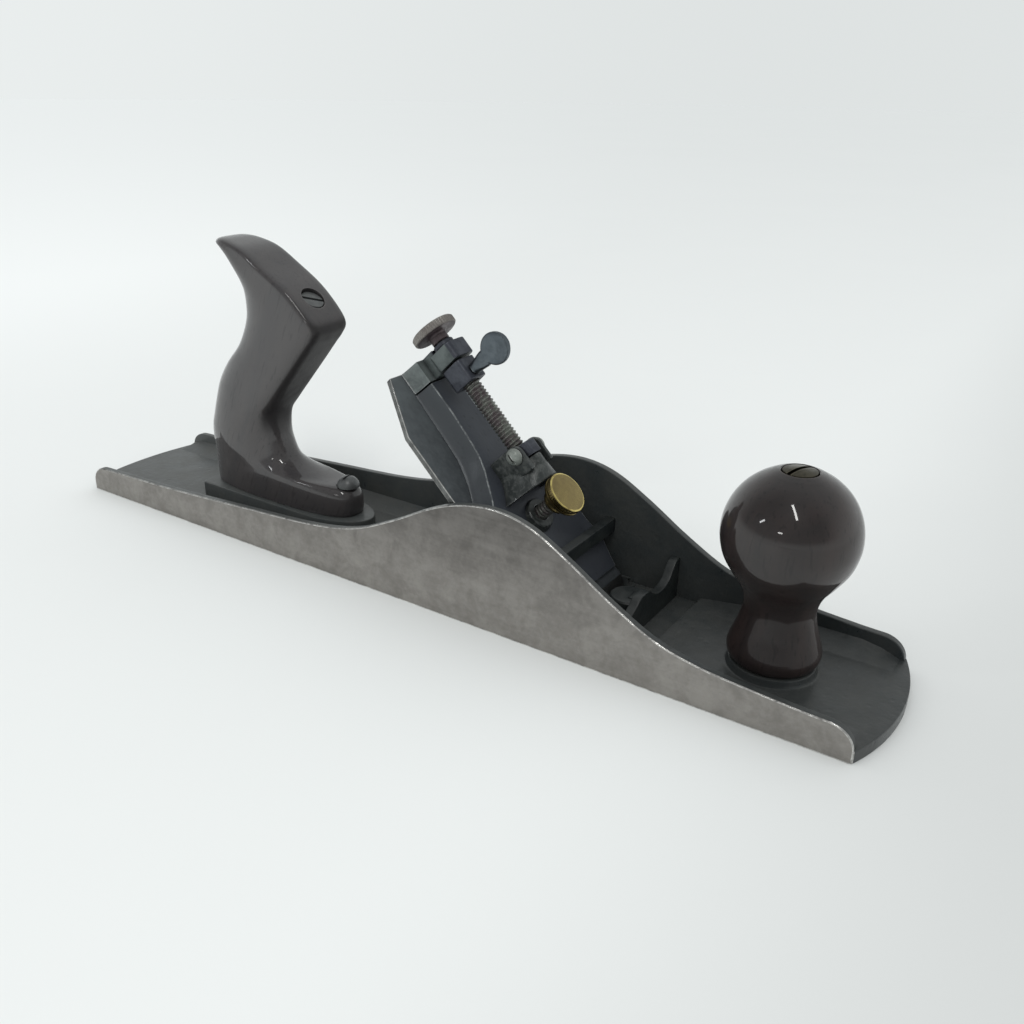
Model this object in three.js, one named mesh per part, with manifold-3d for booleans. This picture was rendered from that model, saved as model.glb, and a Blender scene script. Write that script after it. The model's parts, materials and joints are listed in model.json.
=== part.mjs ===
// Metal jack plane with a two inch cutting iron, a rear tote and a ball knob.
// Millimetres. X runs from heel to toe, Y across the sole, Z up.
// The origin is the centre of the sole's underside.
import * as THREE from 'three';
import { mergeVertices } from 'three/addons/utils/BufferGeometryUtils.js';
import Module from 'manifold-3d';

const wasm = await Module();
wasm.setup();

// Fits
const seatGap = 0.3; // between faces that rest on each other
const boreGap = 0.3; // round a screw, rod or shank in its hole
const overrun = 6; // how far a cutting solid passes the face that it cuts
const weld = 0.5; // how far a joined solid runs into its neighbour

// Counts of straight sides that stand for round ones
const fineSides = 40;
const roundSides = 28;
const smallSides = 20;
const arcSteps = 10;
const edgeSteps = 3;
const toteSides = 20;

// Body casting
const wallThickness = 2.8;
const ironSideGap = 2.05; // between the irons and a side wall
const fingerGap = 28.18; // from the foot of the tote to the irons all the way up
const floorThickness = 4.6;
const toeBulge = 6.4;
const heelBulge = 3.7;
const humpHeight = 47.2;
const wallEndHeight = 11.6;
const wallEndRun = 8.4;
const wallEndBase = 3.9;
const ledgeWidth = 8.5;
const ledgeHeight = 2.2;
const rearLedgeToMouth = 72.7;

// Mouth, throat and cross rib
const mouthFromToe = 102.2;
const mouthSideGap = 0.8; // beside the cutting edge
const mouthOpening = 2.1;
const mouthReliefHeight = 1.5;
const mouthReliefRun = 4.5;
const throatFloor = 2.8;
const throatRun = 17.5;
const ribFromMouth = 19.5;
const ribThickness = 3.4;
const ribHeight = 19;
const webHalfWidth = 3;
const webHeight = 14.5;
const webRun = 14;
const bossRadius = 6.5;
const trenchRun = 9;

// Cross bar that the lever cap hooks under
const barFromMouth = 7.8;
const barWidth = 4;
const barBottom = 21.5;
const barHeight = 5.8;

// Pad under the tote and boss under the knob
const padTop = 11.2;
const padFromHeel = 54.2;
const padLength = 87.5;
const padHalfWidth = 13;
const padNoseRun = 26;
const knobBossRadius = 14.2;
const knobBossTop = 7.6;
const knobFromToe = 35.2;

// Cutting iron and cap iron
const bedAngle = THREE.MathUtils.degToRad(45);
const ironWidth = 50.8;
const ironLength = 110.2;
const ironShoulderRun = 22.4;
const ironTopWidth = 31.2;
const cutterFace = 1.1; // out of the frame of the irons
const cutterThickness = 2.2;
const capIronThickness = 1.7;
const capIronEnd = 56; // up the iron
const edgeHeight = 0.15;
const bevelAngle = THREE.MathUtils.degToRad(25);
const slotWidth = 11.1;
const slotStart = 34;
const slotFromTop = 26.2;
const capIronSetback = 1.6;
const capIronLip = 0.5;
const capIronFall = 6.8;
const capIronHump = 0.8;
const capIronHumpRun = 4.5;
const feedBack = 5.4; // travel of the irons up their bed
const feedForward = 0.6; // travel of the irons down their bed
const capIronScrewPlace = 46;
const capIronScrewRadius = 4;
const capIronScrewHeadRadius = 7.5;
const capIronScrewHeadHeight = 2.4;

// Frog under the cutting iron
const frogWidth = 44;
const frogTop = 58;
const frogSlab = 7;
const frogFootHeight = 5;
const frogHeelRun = 12;
const frogWebWidth = 8;
const frogGrooveWidth = 18;
const frogGrooveStart = 34;
const frogGrooveDepth = 4;
const frogScrewSpread = 14;
const frogScrewInset = 7;
const frogScrewRadius = 2;
const frogScrewHeadRadius = 4.2;
const frogScrewHeadHeight = 3;
const frogScrewDepth = 3;
const washerRadius = 5;
const washerThickness = 1.2;

// Lever cap, in distances up the iron and above the cap iron
const leverCapNose = 9;
const leverCapInset = 0.8; // inside the edges of the irons
const leverCapThickness = 8.4;
const leverCapLip = 0.9;
const clampScrewPlace = 40.5;
const clampBossRadius = 5.8;
const clampBossTop = 9.6;
const hoodFront = 48.4;
const hoodBack = 58;
const hoodFrontHalfWidth = 13.2;
const hoodBackHalfWidth = 7;
const hoodFrontTop = 22.6;
const hoodBackTop = 24;
const hoodWall = 2.6;
const hoodHollowRun = 5;
const earThickness = 1.6;
const earRun = 8.4;

// Adjuster screw, its nut block and its wheel
const rodHeight = 17.55;
const rodRadius = 3.2;
const rodStart = 54;
const shankRadius = 2.5;
const nutLength = 5.2;
const nutHalfWidth = 4.9;
const nutTop = 24.1;
const nutShoulder = 2.6;
const nutShoulderDrop = 3.5;
const trunnionHeight = 19.8;
const trunnionRadius = 1.6;
const trunnionDepth = 1;
const trunnionHeadRadius = 3.2;
const trunnionHeadHeight = 2.6;
const wheelRadius = 8.6;
const wheelThickness = 3.2;
const wheelHubRadius = 3.4;
const wheelHubLength = 3.2;
const wheelTeeth = 36;
const wheelToothDepth = 0.45;
const wheelChamfer = 0.7;
const rodEndLength = 0.6;

// Bracket at the top of the irons
const bracketClearance = 0.4; // to the lever cap with the irons all the way down
const bracketInset = 0.2; // below the top of the irons
const bracketLength = 8.8;
const bracketHeadLength = 6.6;
const bracketHalfWidth = 5.5;
const bracketHeadBottom = 12;
const bracketTop = 23.6;
const bracketCorner = 1.8;
const bracketBossRadius = 4;
const bracketPostHalfWidth = 3.6;
const bracketFootHeight = 8.4;
const bracketFootTopHalfWidth = 4.8;
const bracketFootHalfWidth = 8.4;
const rivetRadius = 1.5;
const rivetDepth = 5;

// Block below the bracket, with its thumbscrew
const blockLength = 8.7;
const blockHalfWidth = 5;
const blockBottom = 12.6;
const blockTop = 22.4;
const blockCorner = 1.4;
const lockScrewInset = 3.2; // from the lower end of the block
const lockScrewRadius = 1.9;
const lockNeckRadius = 2.3;
const lockNeckFlare = 3;
const paddleRadius = 5.8;
const paddleThickness = 2.6;
const paddleRimShare = 0.17; // of its thickness, rounded off at its rim
const paddleHeight = 34.9;

// Brass clamp screw
const clampShankRadius = 2.9;
const clampHubRadius = 4.6;
const clampHubStart = 16.6;
const clampHubLength = 4.3;
const clampDiscRadius = 7.8;
const clampDiscThickness = 3.6;
const clampGroove = 0.5;
const clampGrooveShare = 0.4; // of the disc's thickness, up to its groove
const clampShankEngagement = 5;

// Tote, its rod, nut and toe screw
const toteFromHeel = 57.8;
const toteReach = 76.2;
const toteHeight = 106.1;
const toteThickness = 22;
const toteRodRadius = 2.6;
const toteNutRadius = 4.6;
const toteNutHeight = 8;
const toteNutX = 58.4; // from the back of the tote
const toteNutDrop = 20.7; // below the top of the tote
const toteRodLean = THREE.MathUtils.degToRad(30.8);
const toteRodFoot = 8.2; // how far the rod goes below the foot of the tote
const nutSlotWidth = 1.4;
const nutSlotDepth = 1.5;
const toeScrewX = 72.4; // from the back of the tote
const toeScrewSeat = 11.2; // above the foot of the tote
const toeScrewRadius = 1.8;
const toeScrewHeadRadius = 4.7;
const toeScrewHeadHeight = 4.4;
const toeScrewFoot = 6;

// Knob, its rod and nut
const knobRadius = 21.25;
const knobHeight = 64.5;
const knobRodRadius = 2.8;
const knobNutRadius = 5.3;
const knobNutHeight = 5;
const knobNutCrown = 0.8;
const crownShare = 0.75; // of a nut's crown, at half of its radius
const knobRodFoot = 5.5;

// Places worked out from the sizes above
const ironHalfWidth = ironWidth / 2;
const innerHalfWidth = ironHalfWidth + ironSideGap;
const halfWidth = innerHalfWidth + wallThickness;
const mouthHalfWidth = ironHalfWidth + mouthSideGap;
const leverCapHalfWidth = ironHalfWidth - leverCapInset;
const ironBackHeight = cutterThickness - cutterFace;
const ironRun = (ironLength + feedBack) * Math.cos(bedAngle) + ironBackHeight * Math.sin(bedAngle);
const wallLength = toteFromHeel + toteReach + fingerGap + ironRun + mouthFromToe;
const bodyLength = wallLength + heelBulge + toeBulge;
const heelX = heelBulge - bodyLength / 2;
const toeX = bodyLength / 2 - toeBulge;
const mouthX = toeX - mouthFromToe;
const knobX = toeX - knobFromToe;
const padX = heelX + padFromHeel;
const toteX = heelX + toteFromHeel;
const toteFoot = padTop + seatGap;
const toteNutZ = toteHeight - toteNutDrop;
const knobFoot = knobBossTop + seatGap;
const ribX = mouthX + ribFromMouth;
const barX = mouthX - barFromMouth;
const cutterUnder = cutterFace - cutterThickness;
const bedFace = cutterUnder - seatGap;
const capIronLow = cutterFace + seatGap;
const capIronHigh = capIronLow + capIronThickness;
const overCapIron = capIronHigh + seatGap;

const ironShoulder = ironLength - ironShoulderRun;
const slotEnd = ironLength - slotFromTop;
const nutMiddle = hoodBack + seatGap + nutLength / 2;
const bracketEnd = ironLength - bracketInset;
const bracketStart = bracketEnd - bracketLength;
const leverCapTail = bracketStart - feedForward - bracketClearance;
const blockEnd = bracketStart - seatGap - seatGap;
const blockStart = blockEnd - blockLength;
const lockScrewPlace = blockStart + lockScrewInset;
const bracketMiddle = bracketStart + bracketLength / 2;

// Colours, roughness and metalness of each finish
const finish = {
  blackIron: { color: 0x1c2424, roughness: 0.45, metalness: 0.35 },
  bluedSteel: { color: 0x39414a, roughness: 0.38, metalness: 0.8 },
  brightSteel: { color: 0x9a9c9a, roughness: 0.32, metalness: 0.95 },
  brass: { color: 0xb79a4c, roughness: 0.35, metalness: 0.95 },
  bronze: { color: 0x6f5a47, roughness: 0.45, metalness: 0.85 },
  polishedWood: { color: 0x2b1a18, roughness: 0.22, metalness: 0 },
};

const plane = new THREE.Group();

// Frame of the irons: x up the iron, z out of the middle of the cutting iron, from where
// that would meet the sole.
const upIron = new THREE.Vector3(-Math.cos(bedAngle), 0, Math.sin(bedAngle));
const outOfIron = new THREE.Vector3(Math.sin(bedAngle), 0, Math.cos(bedAngle));
const acrossIron = new THREE.Vector3().crossVectors(outOfIron, upIron);
const ironFrame = new THREE.Group();
ironFrame.position.set(mouthX, 0, 0);
ironFrame.quaternion.setFromRotationMatrix(
  new THREE.Matrix4().makeBasis(upIron, acrossIron, outOfIron),
);
plane.add(ironFrame);

/** Adds a mesh under its own name and material. */
function addPiece(parent, name, look, geometry) {
  const material = new THREE.MeshStandardMaterial(finish[look]);
  const mesh = new THREE.Mesh(geometry, material);
  mesh.name = name;
  parent.add(mesh);
  return mesh;
}

/** Shares the corners of a geometry's faces, so that it is closed. */
function welded(geometry) {
  const bare = geometry.clone();
  bare.deleteAttribute('normal');
  bare.deleteAttribute('uv');
  const merged = mergeVertices(bare);
  const corners = merged.index.array;
  const faces = [];
  for (let i = 0; i < corners.length; i += 3) {
    const [a, b, c] = [corners[i], corners[i + 1], corners[i + 2]];
    if (a !== b && b !== c && c !== a) {
      faces.push(a, b, c);
    }
  }
  merged.setIndex(faces);
  return merged;
}

/** Turns a closed geometry into a solid that can be cut and joined. */
function solidFrom(geometry) {
  const mesh = new wasm.Mesh({
    numProp: 3,
    vertProperties: new Float32Array(geometry.attributes.position.array),
    triVerts: new Uint32Array(geometry.index.array),
  });
  return new wasm.Manifold(mesh);
}

/** Turns a solid back into a geometry. */
function geometryFrom(solid) {
  const mesh = solid.getMesh();
  const geometry = new THREE.BufferGeometry();
  geometry.setAttribute('position', new THREE.BufferAttribute(mesh.vertProperties, 3));
  geometry.setIndex(new THREE.BufferAttribute(mesh.triVerts, 1));
  geometry.computeVertexNormals();
  return geometry;
}

/** Joins geometries into one. */
function join(first, ...others) {
  return geometryFrom(others.reduce((sum, other) => sum.add(solidFrom(other)), solidFrom(first)));
}

/** Cuts the other geometries out of the first. */
function cut(first, ...others) {
  return geometryFrom(others.reduce((rest, other) => rest.subtract(solidFrom(other)), solidFrom(first)));
}

/** Keeps what two geometries share. */
function overlap(first, second) {
  return geometryFrom(solidFrom(first).intersect(solidFrom(second)));
}

/** A box between two corners. */
function block(x0, x1, y0, y1, z0, z1) {
  const box = welded(new THREE.BoxGeometry(x1 - x0, y1 - y0, z1 - z0));
  return box.translate((x0 + x1) / 2, (y0 + y1) / 2, (z0 + z1) / 2);
}

/** Extrudes an outline in x and y upwards from z0 to z1. */
function risen(outline, z0, z1, steps = arcSteps) {
  const solid = new THREE.ExtrudeGeometry(outline, {
    depth: z1 - z0,
    bevelEnabled: false,
    curveSegments: steps,
  });
  return welded(solid).translate(0, 0, z0);
}

/** Extrudes an outline in x and z sideways from y0 to y1. */
function across(outline, y0, y1, steps = arcSteps) {
  const solid = new THREE.ExtrudeGeometry(outline, {
    depth: y1 - y0,
    bevelEnabled: false,
    curveSegments: steps,
  });
  return welded(solid).translate(0, 0, -y1).rotateX(Math.PI / 2);
}

/** Extrudes an outline in y and z lengthways from x0 to x1. */
function along(outline, x0, x1, steps = arcSteps) {
  const solid = new THREE.ExtrudeGeometry(outline, {
    depth: x1 - x0,
    bevelEnabled: false,
    curveSegments: steps,
  });
  const turn = new THREE.Matrix4().makeBasis(
    new THREE.Vector3(0, 1, 0),
    new THREE.Vector3(0, 0, 1),
    new THREE.Vector3(1, 0, 0),
  );
  return welded(solid).applyMatrix4(turn).translate(x0, 0, 0);
}

/** Turns a profile of radius and height about the z axis at x, y. */
function turned(profile, x = 0, y = 0, sides = roundSides) {
  const points = profile.map(([radius, height]) => new THREE.Vector2(radius, height));
  const solid = new THREE.LatheGeometry(points, sides);
  return welded(solid).rotateX(Math.PI / 2).translate(x, y, 0);
}

/** A pin about the z axis. */
function pin(radius, z0, z1, x = 0, y = 0, sides = roundSides) {
  return turned([[0, z0], [radius, z0], [radius, z1], [0, z1]], x, y, sides);
}

/** Lays a solid that was made about the z axis along x, at a height. */
function laidAlong(solid, height) {
  return solid.rotateY(Math.PI / 2).translate(0, 0, height);
}

/** A closed outline through points. */
function outlineOf(points) {
  return new THREE.Shape(points.map(([a, b]) => new THREE.Vector2(a, b)));
}

/** Points on a smooth curve through a few given ones. */
function smoothed(points, count) {
  const curve = new THREE.SplineCurve(points.map(([a, b]) => new THREE.Vector2(a, b)));
  return curve.getPoints(count).map((point) => [point.x, point.y]);
}

/** Volume inside a list of faces, negative where they face inwards. */
function signedVolume(positions, faces) {
  const corner = (i) => new THREE.Vector3().fromArray(positions, faces[i] * 3);
  let volume = 0;
  for (let i = 0; i < faces.length; i += 3) {
    volume += corner(i).dot(corner(i + 1).cross(corner(i + 2))) / 6;
  }
  return volume;
}

/** Skins closed rings of points, in order, and closes both ends. */
function skinned(rings) {
  const sides = rings[0].length;
  const positions = rings.flat(2);
  const faces = [];
  for (let i = 0; i + 1 < rings.length; i += 1) {
    for (let j = 0; j < sides; j += 1) {
      const next = (j + 1) % sides;
      const [a, b] = [i * sides + j, i * sides + next];
      const [c, d] = [a + sides, b + sides];
      faces.push(a, b, d, a, d, c);
    }
  }
  const last = (rings.length - 1) * sides;
  for (let j = 1; j + 1 < sides; j += 1) {
    faces.push(0, j + 1, j);
    faces.push(last, last + j, last + j + 1);
  }
  if (signedVolume(positions, faces) < 0) {
    faces.reverse();
  }
  const geometry = new THREE.BufferGeometry();
  geometry.setAttribute('position', new THREE.Float32BufferAttribute(positions, 3));
  geometry.setIndex(faces);
  return geometry;
}

/** Place in the plane of a point of the iron frame, as x and z. */
function onIron(up, out) {
  const point = upIron.clone().multiplyScalar(up).addScaledVector(outOfIron, out);
  return [mouthX + point.x, point.z];
}

/** X where the plane at a distance out of the iron frame stands at height z. */
function ironPlaneX(out, z) {
  const up = (z - out * outOfIron.z) / upIron.z;
  return onIron(up, out)[0];
}

/** Distance up the iron at which the plane at a distance out of the frame is at height z. */
function upAtHeight(out, z) {
  return (z - out * outOfIron.z) / upIron.z;
}

/** Outline of the sole with its bowed toe and heel. */
function soleOutline() {
  const bow = (bulge) => (halfWidth ** 2 + bulge ** 2) / (bulge + bulge);
  const toeRadius = bow(toeBulge);
  const heelRadius = bow(heelBulge);
  const toeSpan = Math.asin(halfWidth / toeRadius);
  const heelSpan = Math.asin(halfWidth / heelRadius);
  const outline = new THREE.Shape();
  outline.moveTo(heelX, -halfWidth);
  outline.absarc(toeX + toeBulge - toeRadius, 0, toeRadius, -toeSpan, toeSpan, false);
  const heelMiddle = heelX - heelBulge + heelRadius;
  outline.absarc(heelMiddle, 0, heelRadius, Math.PI - heelSpan, Math.PI + heelSpan, false);
  return outline;
}

// Top of the side wall from toe to heel: shares of the wall's length from the heel, and
// of the hump's height.
const wallTopShares = [
  [0.955, 0.252], [0.908, 0.277], [0.86, 0.312], [0.816, 0.393], [0.77, 0.57], [0.724, 0.783],
  [0.683, 0.943], [0.645, 1], [0.605, 0.968], [0.566, 0.866], [0.513, 0.661], [0.46, 0.494],
  [0.395, 0.403], [0.29, 0.345], [0.158, 0.283], [0.06, 0.256],
];

/** Outline of a side wall, seen from the side. */
function wallOutline() {
  const outline = new THREE.Shape();
  const rise = wallEndHeight - wallEndBase;
  outline.moveTo(heelX, 0);
  outline.lineTo(toeX, 0);
  outline.absellipse(toeX - wallEndRun, wallEndBase, wallEndRun, rise, 0, Math.PI / 2, false);
  const top = wallTopShares.map(([run, high]) => (
    new THREE.Vector2(heelX + run * wallLength, high * humpHeight)));
  const heelEnd = new THREE.Vector2(heelX + wallEndRun, wallEndHeight);
  outline.splineThru([...top, heelEnd]);
  outline.absellipse(heelEnd.x, wallEndBase, wallEndRun, rise, Math.PI / 2, Math.PI, false);
  return outline;
}

/** Sloped ledge along the foot of a wall on one side. */
function ledge(side, x0, x1) {
  const wallSide = (innerHalfWidth + weld) * side;
  const inner = (innerHalfWidth - ledgeWidth) * side;
  const low = floorThickness - weld;
  return along(outlineOf([
    [wallSide, low],
    [wallSide, floorThickness + ledgeHeight],
    [innerHalfWidth * side, floorThickness + ledgeHeight],
    [inner, floorThickness],
    [inner, low],
  ]), x0, x1);
}

// Top edge of the front rib from its middle to a wall: shares of the inner half width
// and of the rib's height.
const ribTopShares = [
  [0, 0.84], [0.12, 0.82], [0.24, 0.7], [0.4, 0.6], [0.56, 0.6],
  [0.7, 0.68], [0.8, 0.86], [0.88, 0.97], [1, 1],
];

/** Cross rib ahead of the mouth, scalloped between its middle and the walls. */
function frontRib() {
  const reach = innerHalfWidth + weld;
  const half = ribTopShares.map(([out, high]) => [out * reach, high * ribHeight]);
  const left = half.slice(1).map(([out, high]) => [-out, high]);
  const right = half.slice().reverse();
  const outline = outlineOf([[-reach, weld], [reach, weld], ...right, ...left]);
  return along(outline, ribX - ribThickness / 2, ribX + ribThickness / 2);
}

/** Web and rounded boss that stiffen the rib on the side of the mouth. */
function ribWeb() {
  const back = ribX - webRun;
  const web = across(outlineOf([
    [back, throatFloor - weld],
    [ribX, throatFloor - weld],
    [ribX, webHeight],
    [ribX - ribThickness, webHeight],
    [back, throatFloor + weld],
  ]), -webHalfWidth, webHalfWidth);
  const boss = pin(bossRadius, throatFloor - weld, webHeight - weld, ribX - bossRadius + ribThickness / 2);
  return join(web, boss);
}

/** Opening for the cutting edge, sloped behind like the bed. */
function mouthCut() {
  const low = -weld;
  const high = floorThickness + overrun;
  const front = mouthX + cutterFace / Math.sin(bedAngle) + mouthOpening;
  return across(outlineOf([
    [ironPlaneX(bedFace, low), low],
    [front, low],
    [front, mouthReliefHeight],
    [front + mouthReliefRun, floorThickness],
    [front + mouthReliefRun, high],
    [ironPlaneX(bedFace, high), high],
  ]), -mouthHalfWidth, mouthHalfWidth);
}

/** Outline of the raised pad under the tote, square behind and rounded in front. */
function padOutline() {
  const straight = padX + padLength - padNoseRun;
  const outline = new THREE.Shape();
  outline.moveTo(padX, -padHalfWidth);
  outline.lineTo(straight, -padHalfWidth);
  outline.absellipse(straight, 0, padNoseRun, padHalfWidth, -Math.PI / 2, Math.PI / 2, false);
  outline.lineTo(padX, padHalfWidth);
  return outline;
}

/** Moves a solid made about the z axis to the tote rod's axis, with z zero at its foot. */
function onToteRod(solid) {
  solid.rotateY(toteRodLean);
  const run = toteNutZ * Math.tan(toteRodLean);
  return solid.translate(toteX + toteNutX - run, 0, toteFoot);
}

/** Length of the tote rod from the tote's foot to the nut's middle. */
const toteRodReach = toteNutZ / Math.cos(toteRodLean);

function makeBodyCasting() {
  const wall = wallOutline();
  const throatBack = mouthX + mouthOpening;
  const throatEnd = mouthX + throatRun;
  const trenchStart = ribX + ribThickness / 2;
  const trenchEnd = trenchStart + trenchRun;
  const above = floorThickness + overrun;
  const floor = cut(
    risen(soleOutline(), 0, floorThickness),
    block(throatBack, throatEnd, -innerHalfWidth, innerHalfWidth, throatFloor, above),
    block(trenchStart, trenchEnd, -innerHalfWidth, innerHalfWidth, throatFloor, above),
  );
  const casting = join(
    floor,
    across(wall, -halfWidth, -innerHalfWidth, edgeSteps),
    across(wall, innerHalfWidth, halfWidth, edgeSteps),
    frontRib(),
    ribWeb(),
    ledge(-1, heelX + wallEndRun / 2, mouthX - rearLedgeToMouth),
    ledge(1, heelX + wallEndRun / 2, mouthX - rearLedgeToMouth),
    ledge(-1, trenchEnd, toeX - wallEndRun / 2),
    ledge(1, trenchEnd, toeX - wallEndRun / 2),
    risen(padOutline(), floorThickness - weld, padTop),
  );
  const frogHole = (y) => pin(
    frogScrewRadius + boreGap,
    floorThickness - frogScrewDepth - seatGap,
    above,
    frogFootX + frogScrewInset,
    y,
  );
  const toeScrewFloor = toteFoot - toeScrewFoot - seatGap;
  const knobRodFloor = knobFoot - knobRodFoot - seatGap;
  return cut(
    casting,
    mouthCut(),
    onToteRod(pin(toteRodRadius + boreGap, -toteRodFoot - seatGap, overrun)),
    pin(toeScrewRadius + boreGap, toeScrewFloor, padTop + overrun, toteX + toeScrewX),
    pin(knobRodRadius + boreGap, knobRodFloor, above, knobX),
    frogHole(-frogScrewSpread),
    frogHole(frogScrewSpread),
  );
}

/** Bar between the side walls. */
function makeCrossBar() {
  const reach = innerHalfWidth - seatGap;
  const low = barX - barWidth / 2;
  const bar = block(low, low + barWidth, -reach, reach, barBottom, barBottom + barHeight);
  return geometryFrom(solidFrom(bar));
}

/** Round boss that the knob stands on. */
function makeKnobBoss() {
  return cut(
    pin(knobBossRadius, floorThickness + seatGap, knobBossTop, knobX, 0, fineSides),
    pin(knobRodRadius + boreGap, floorThickness, knobBossTop + overrun, knobX),
  );
}

// The frog stands on the floor behind the mouth.
const frogFloor = floorThickness + seatGap;
const frogToeX = ironPlaneX(bedFace, frogFloor);
const frogBackX = onIron(frogTop, bedFace - frogSlab)[0];
const frogFootX = frogBackX - frogHeelRun + seatGap;
const frogFootTop = frogFloor + frogFootHeight;

function makeFrog() {
  const topFront = onIron(frogTop, bedFace);
  const topBack = onIron(frogTop, bedFace - frogSlab);
  const slabFoot = ironPlaneX(bedFace - frogSlab, frogFootTop + frogFootHeight);
  const slab = across(outlineOf([
    [frogFootX, frogFloor],
    [frogToeX, frogFloor],
    topFront,
    topBack,
    [slabFoot, frogFootTop + frogFootHeight],
    [slabFoot - frogFootHeight, frogFootTop],
    [frogFootX, frogFootTop],
  ]), -frogWidth / 2, frogWidth / 2);
  const web = across(outlineOf([
    [frogFootX + weld, frogFloor + weld],
    [slabFoot, frogFloor + weld],
    [topBack[0] + weld, topBack[1] - frogFootHeight],
    [frogFootX + frogHeelRun, frogFootTop + frogFootHeight],
    [frogFootX + weld, frogFootTop],
  ]), -frogWebWidth / 2, frogWebWidth / 2);
  const groove = ironPlaced(block(
    frogGrooveStart,
    frogTop + overrun,
    -frogGrooveWidth / 2,
    frogGrooveWidth / 2,
    bedFace - frogGrooveDepth,
    bedFace + overrun,
  ));
  const hole = (y) => pin(
    frogScrewRadius + boreGap,
    frogFloor - overrun,
    frogFootTop + overrun,
    frogFootX + frogScrewInset,
    y,
    smallSides,
  );
  return cut(join(slab, web), groove, hole(-frogScrewSpread), hole(frogScrewSpread));
}

/** Puts a solid made in the iron frame into the plane's own frame. */
function ironPlaced(solid) {
  ironFrame.updateMatrix();
  return solid.applyMatrix4(ironFrame.matrix);
}

/** A washer under a frog screw. */
function makeFrogWasher(y) {
  const low = frogFootTop + seatGap;
  const high = low + washerThickness;
  const inner = frogScrewRadius + boreGap;
  return turned(
    [[inner, low], [washerRadius, low], [washerRadius, high], [inner, high], [inner, low]],
    frogFootX + frogScrewInset,
    y,
  );
}

/** A frog screw with a slotted head. */
function makeFrogScrew(y) {
  const x = frogFootX + frogScrewInset;
  const seat = frogFootTop + washerThickness + seatGap + seatGap;
  const top = seat + frogScrewHeadHeight;
  const screw = turned([
    [0, floorThickness - frogScrewDepth],
    [frogScrewRadius, floorThickness - frogScrewDepth],
    [frogScrewRadius, seat],
    [frogScrewHeadRadius, seat],
    [frogScrewHeadRadius, top],
    [0, top],
  ], x, y);
  return cut(screw, block(
    x - overrun,
    x + overrun,
    y - nutSlotWidth / 2,
    y + nutSlotWidth / 2,
    top - nutSlotDepth,
    top + overrun,
  ));
}

// Where the cutting edge stands up the iron, and where its cap iron begins.
const edgeUp = upAtHeight(cutterFace, edgeHeight);
const capIronStart = edgeUp + capIronSetback;
const capIronLevel = capIronStart + capIronHumpRun + capIronFall;

/** Outline of the cutting iron, from a distance up it to its clipped top. */
function ironOutline(start) {
  return outlineOf([
    [start, -ironHalfWidth],
    [ironShoulder, -ironHalfWidth],
    [ironLength, -ironTopWidth / 2],
    [ironLength, ironTopWidth / 2],
    [ironShoulder, ironHalfWidth],
    [start, ironHalfWidth],
  ]);
}

function makeCutterIron() {
  const bevelRun = cutterThickness / Math.tan(bevelAngle);
  const blank = overlap(
    risen(ironOutline(edgeUp - weld), cutterUnder, cutterFace),
    across(outlineOf([
      [edgeUp, cutterFace + weld],
      [edgeUp, cutterFace],
      [edgeUp + bevelRun, cutterUnder],
      [edgeUp + bevelRun, cutterUnder - weld],
      [ironLength + weld, cutterUnder - weld],
      [ironLength + weld, cutterFace + weld],
    ]), -ironWidth, ironWidth),
  );
  const slot = new THREE.Shape();
  slot.absarc(slotStart + slotWidth / 2, 0, slotWidth / 2, Math.PI / 2, -Math.PI / 2, false);
  slot.absarc(slotEnd - slotWidth / 2, 0, slotWidth / 2, -Math.PI / 2, Math.PI / 2, false);
  return cut(
    blank,
    risen(slot, cutterUnder - overrun, cutterFace + overrun),
    pin(rivetRadius + boreGap, -overrun, overrun, bracketMiddle, 0, smallSides),
  );
}

function makeCapIron() {
  const hump = capIronStart + capIronHumpRun;
  const lip = capIronStart + capIronLip;
  const side = outlineOf([
    [capIronStart, capIronLow],
    [lip, capIronLow],
    [hump, capIronLow + capIronHump],
    [capIronLevel, capIronLow],
    [capIronEnd, capIronLow],
    [capIronEnd, capIronHigh],
    [capIronLevel, capIronHigh],
    [hump, capIronHigh + capIronHump],
    [capIronStart, capIronLow + capIronLip],
  ]);
  return cut(
    across(side, -ironHalfWidth, ironHalfWidth),
    pin(capIronScrewRadius + boreGap, -overrun, overrun, capIronScrewPlace),
  );
}

function makeCapIronScrew() {
  const seat = cutterUnder - seatGap;
  const low = seat - capIronScrewHeadHeight;
  const screw = turned([
    [0, low],
    [capIronScrewHeadRadius, low],
    [capIronScrewHeadRadius, seat],
    [capIronScrewRadius, seat],
    [capIronScrewRadius, capIronHigh - boreGap],
    [0, capIronHigh - boreGap],
  ], capIronScrewPlace);
  return cut(screw, block(
    capIronScrewPlace - nutSlotWidth / 2,
    capIronScrewPlace + nutSlotWidth / 2,
    -capIronScrewHeadRadius - weld,
    capIronScrewHeadRadius + weld,
    low - overrun,
    low + capIronScrewHeadHeight / 2,
  ));
}

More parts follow.
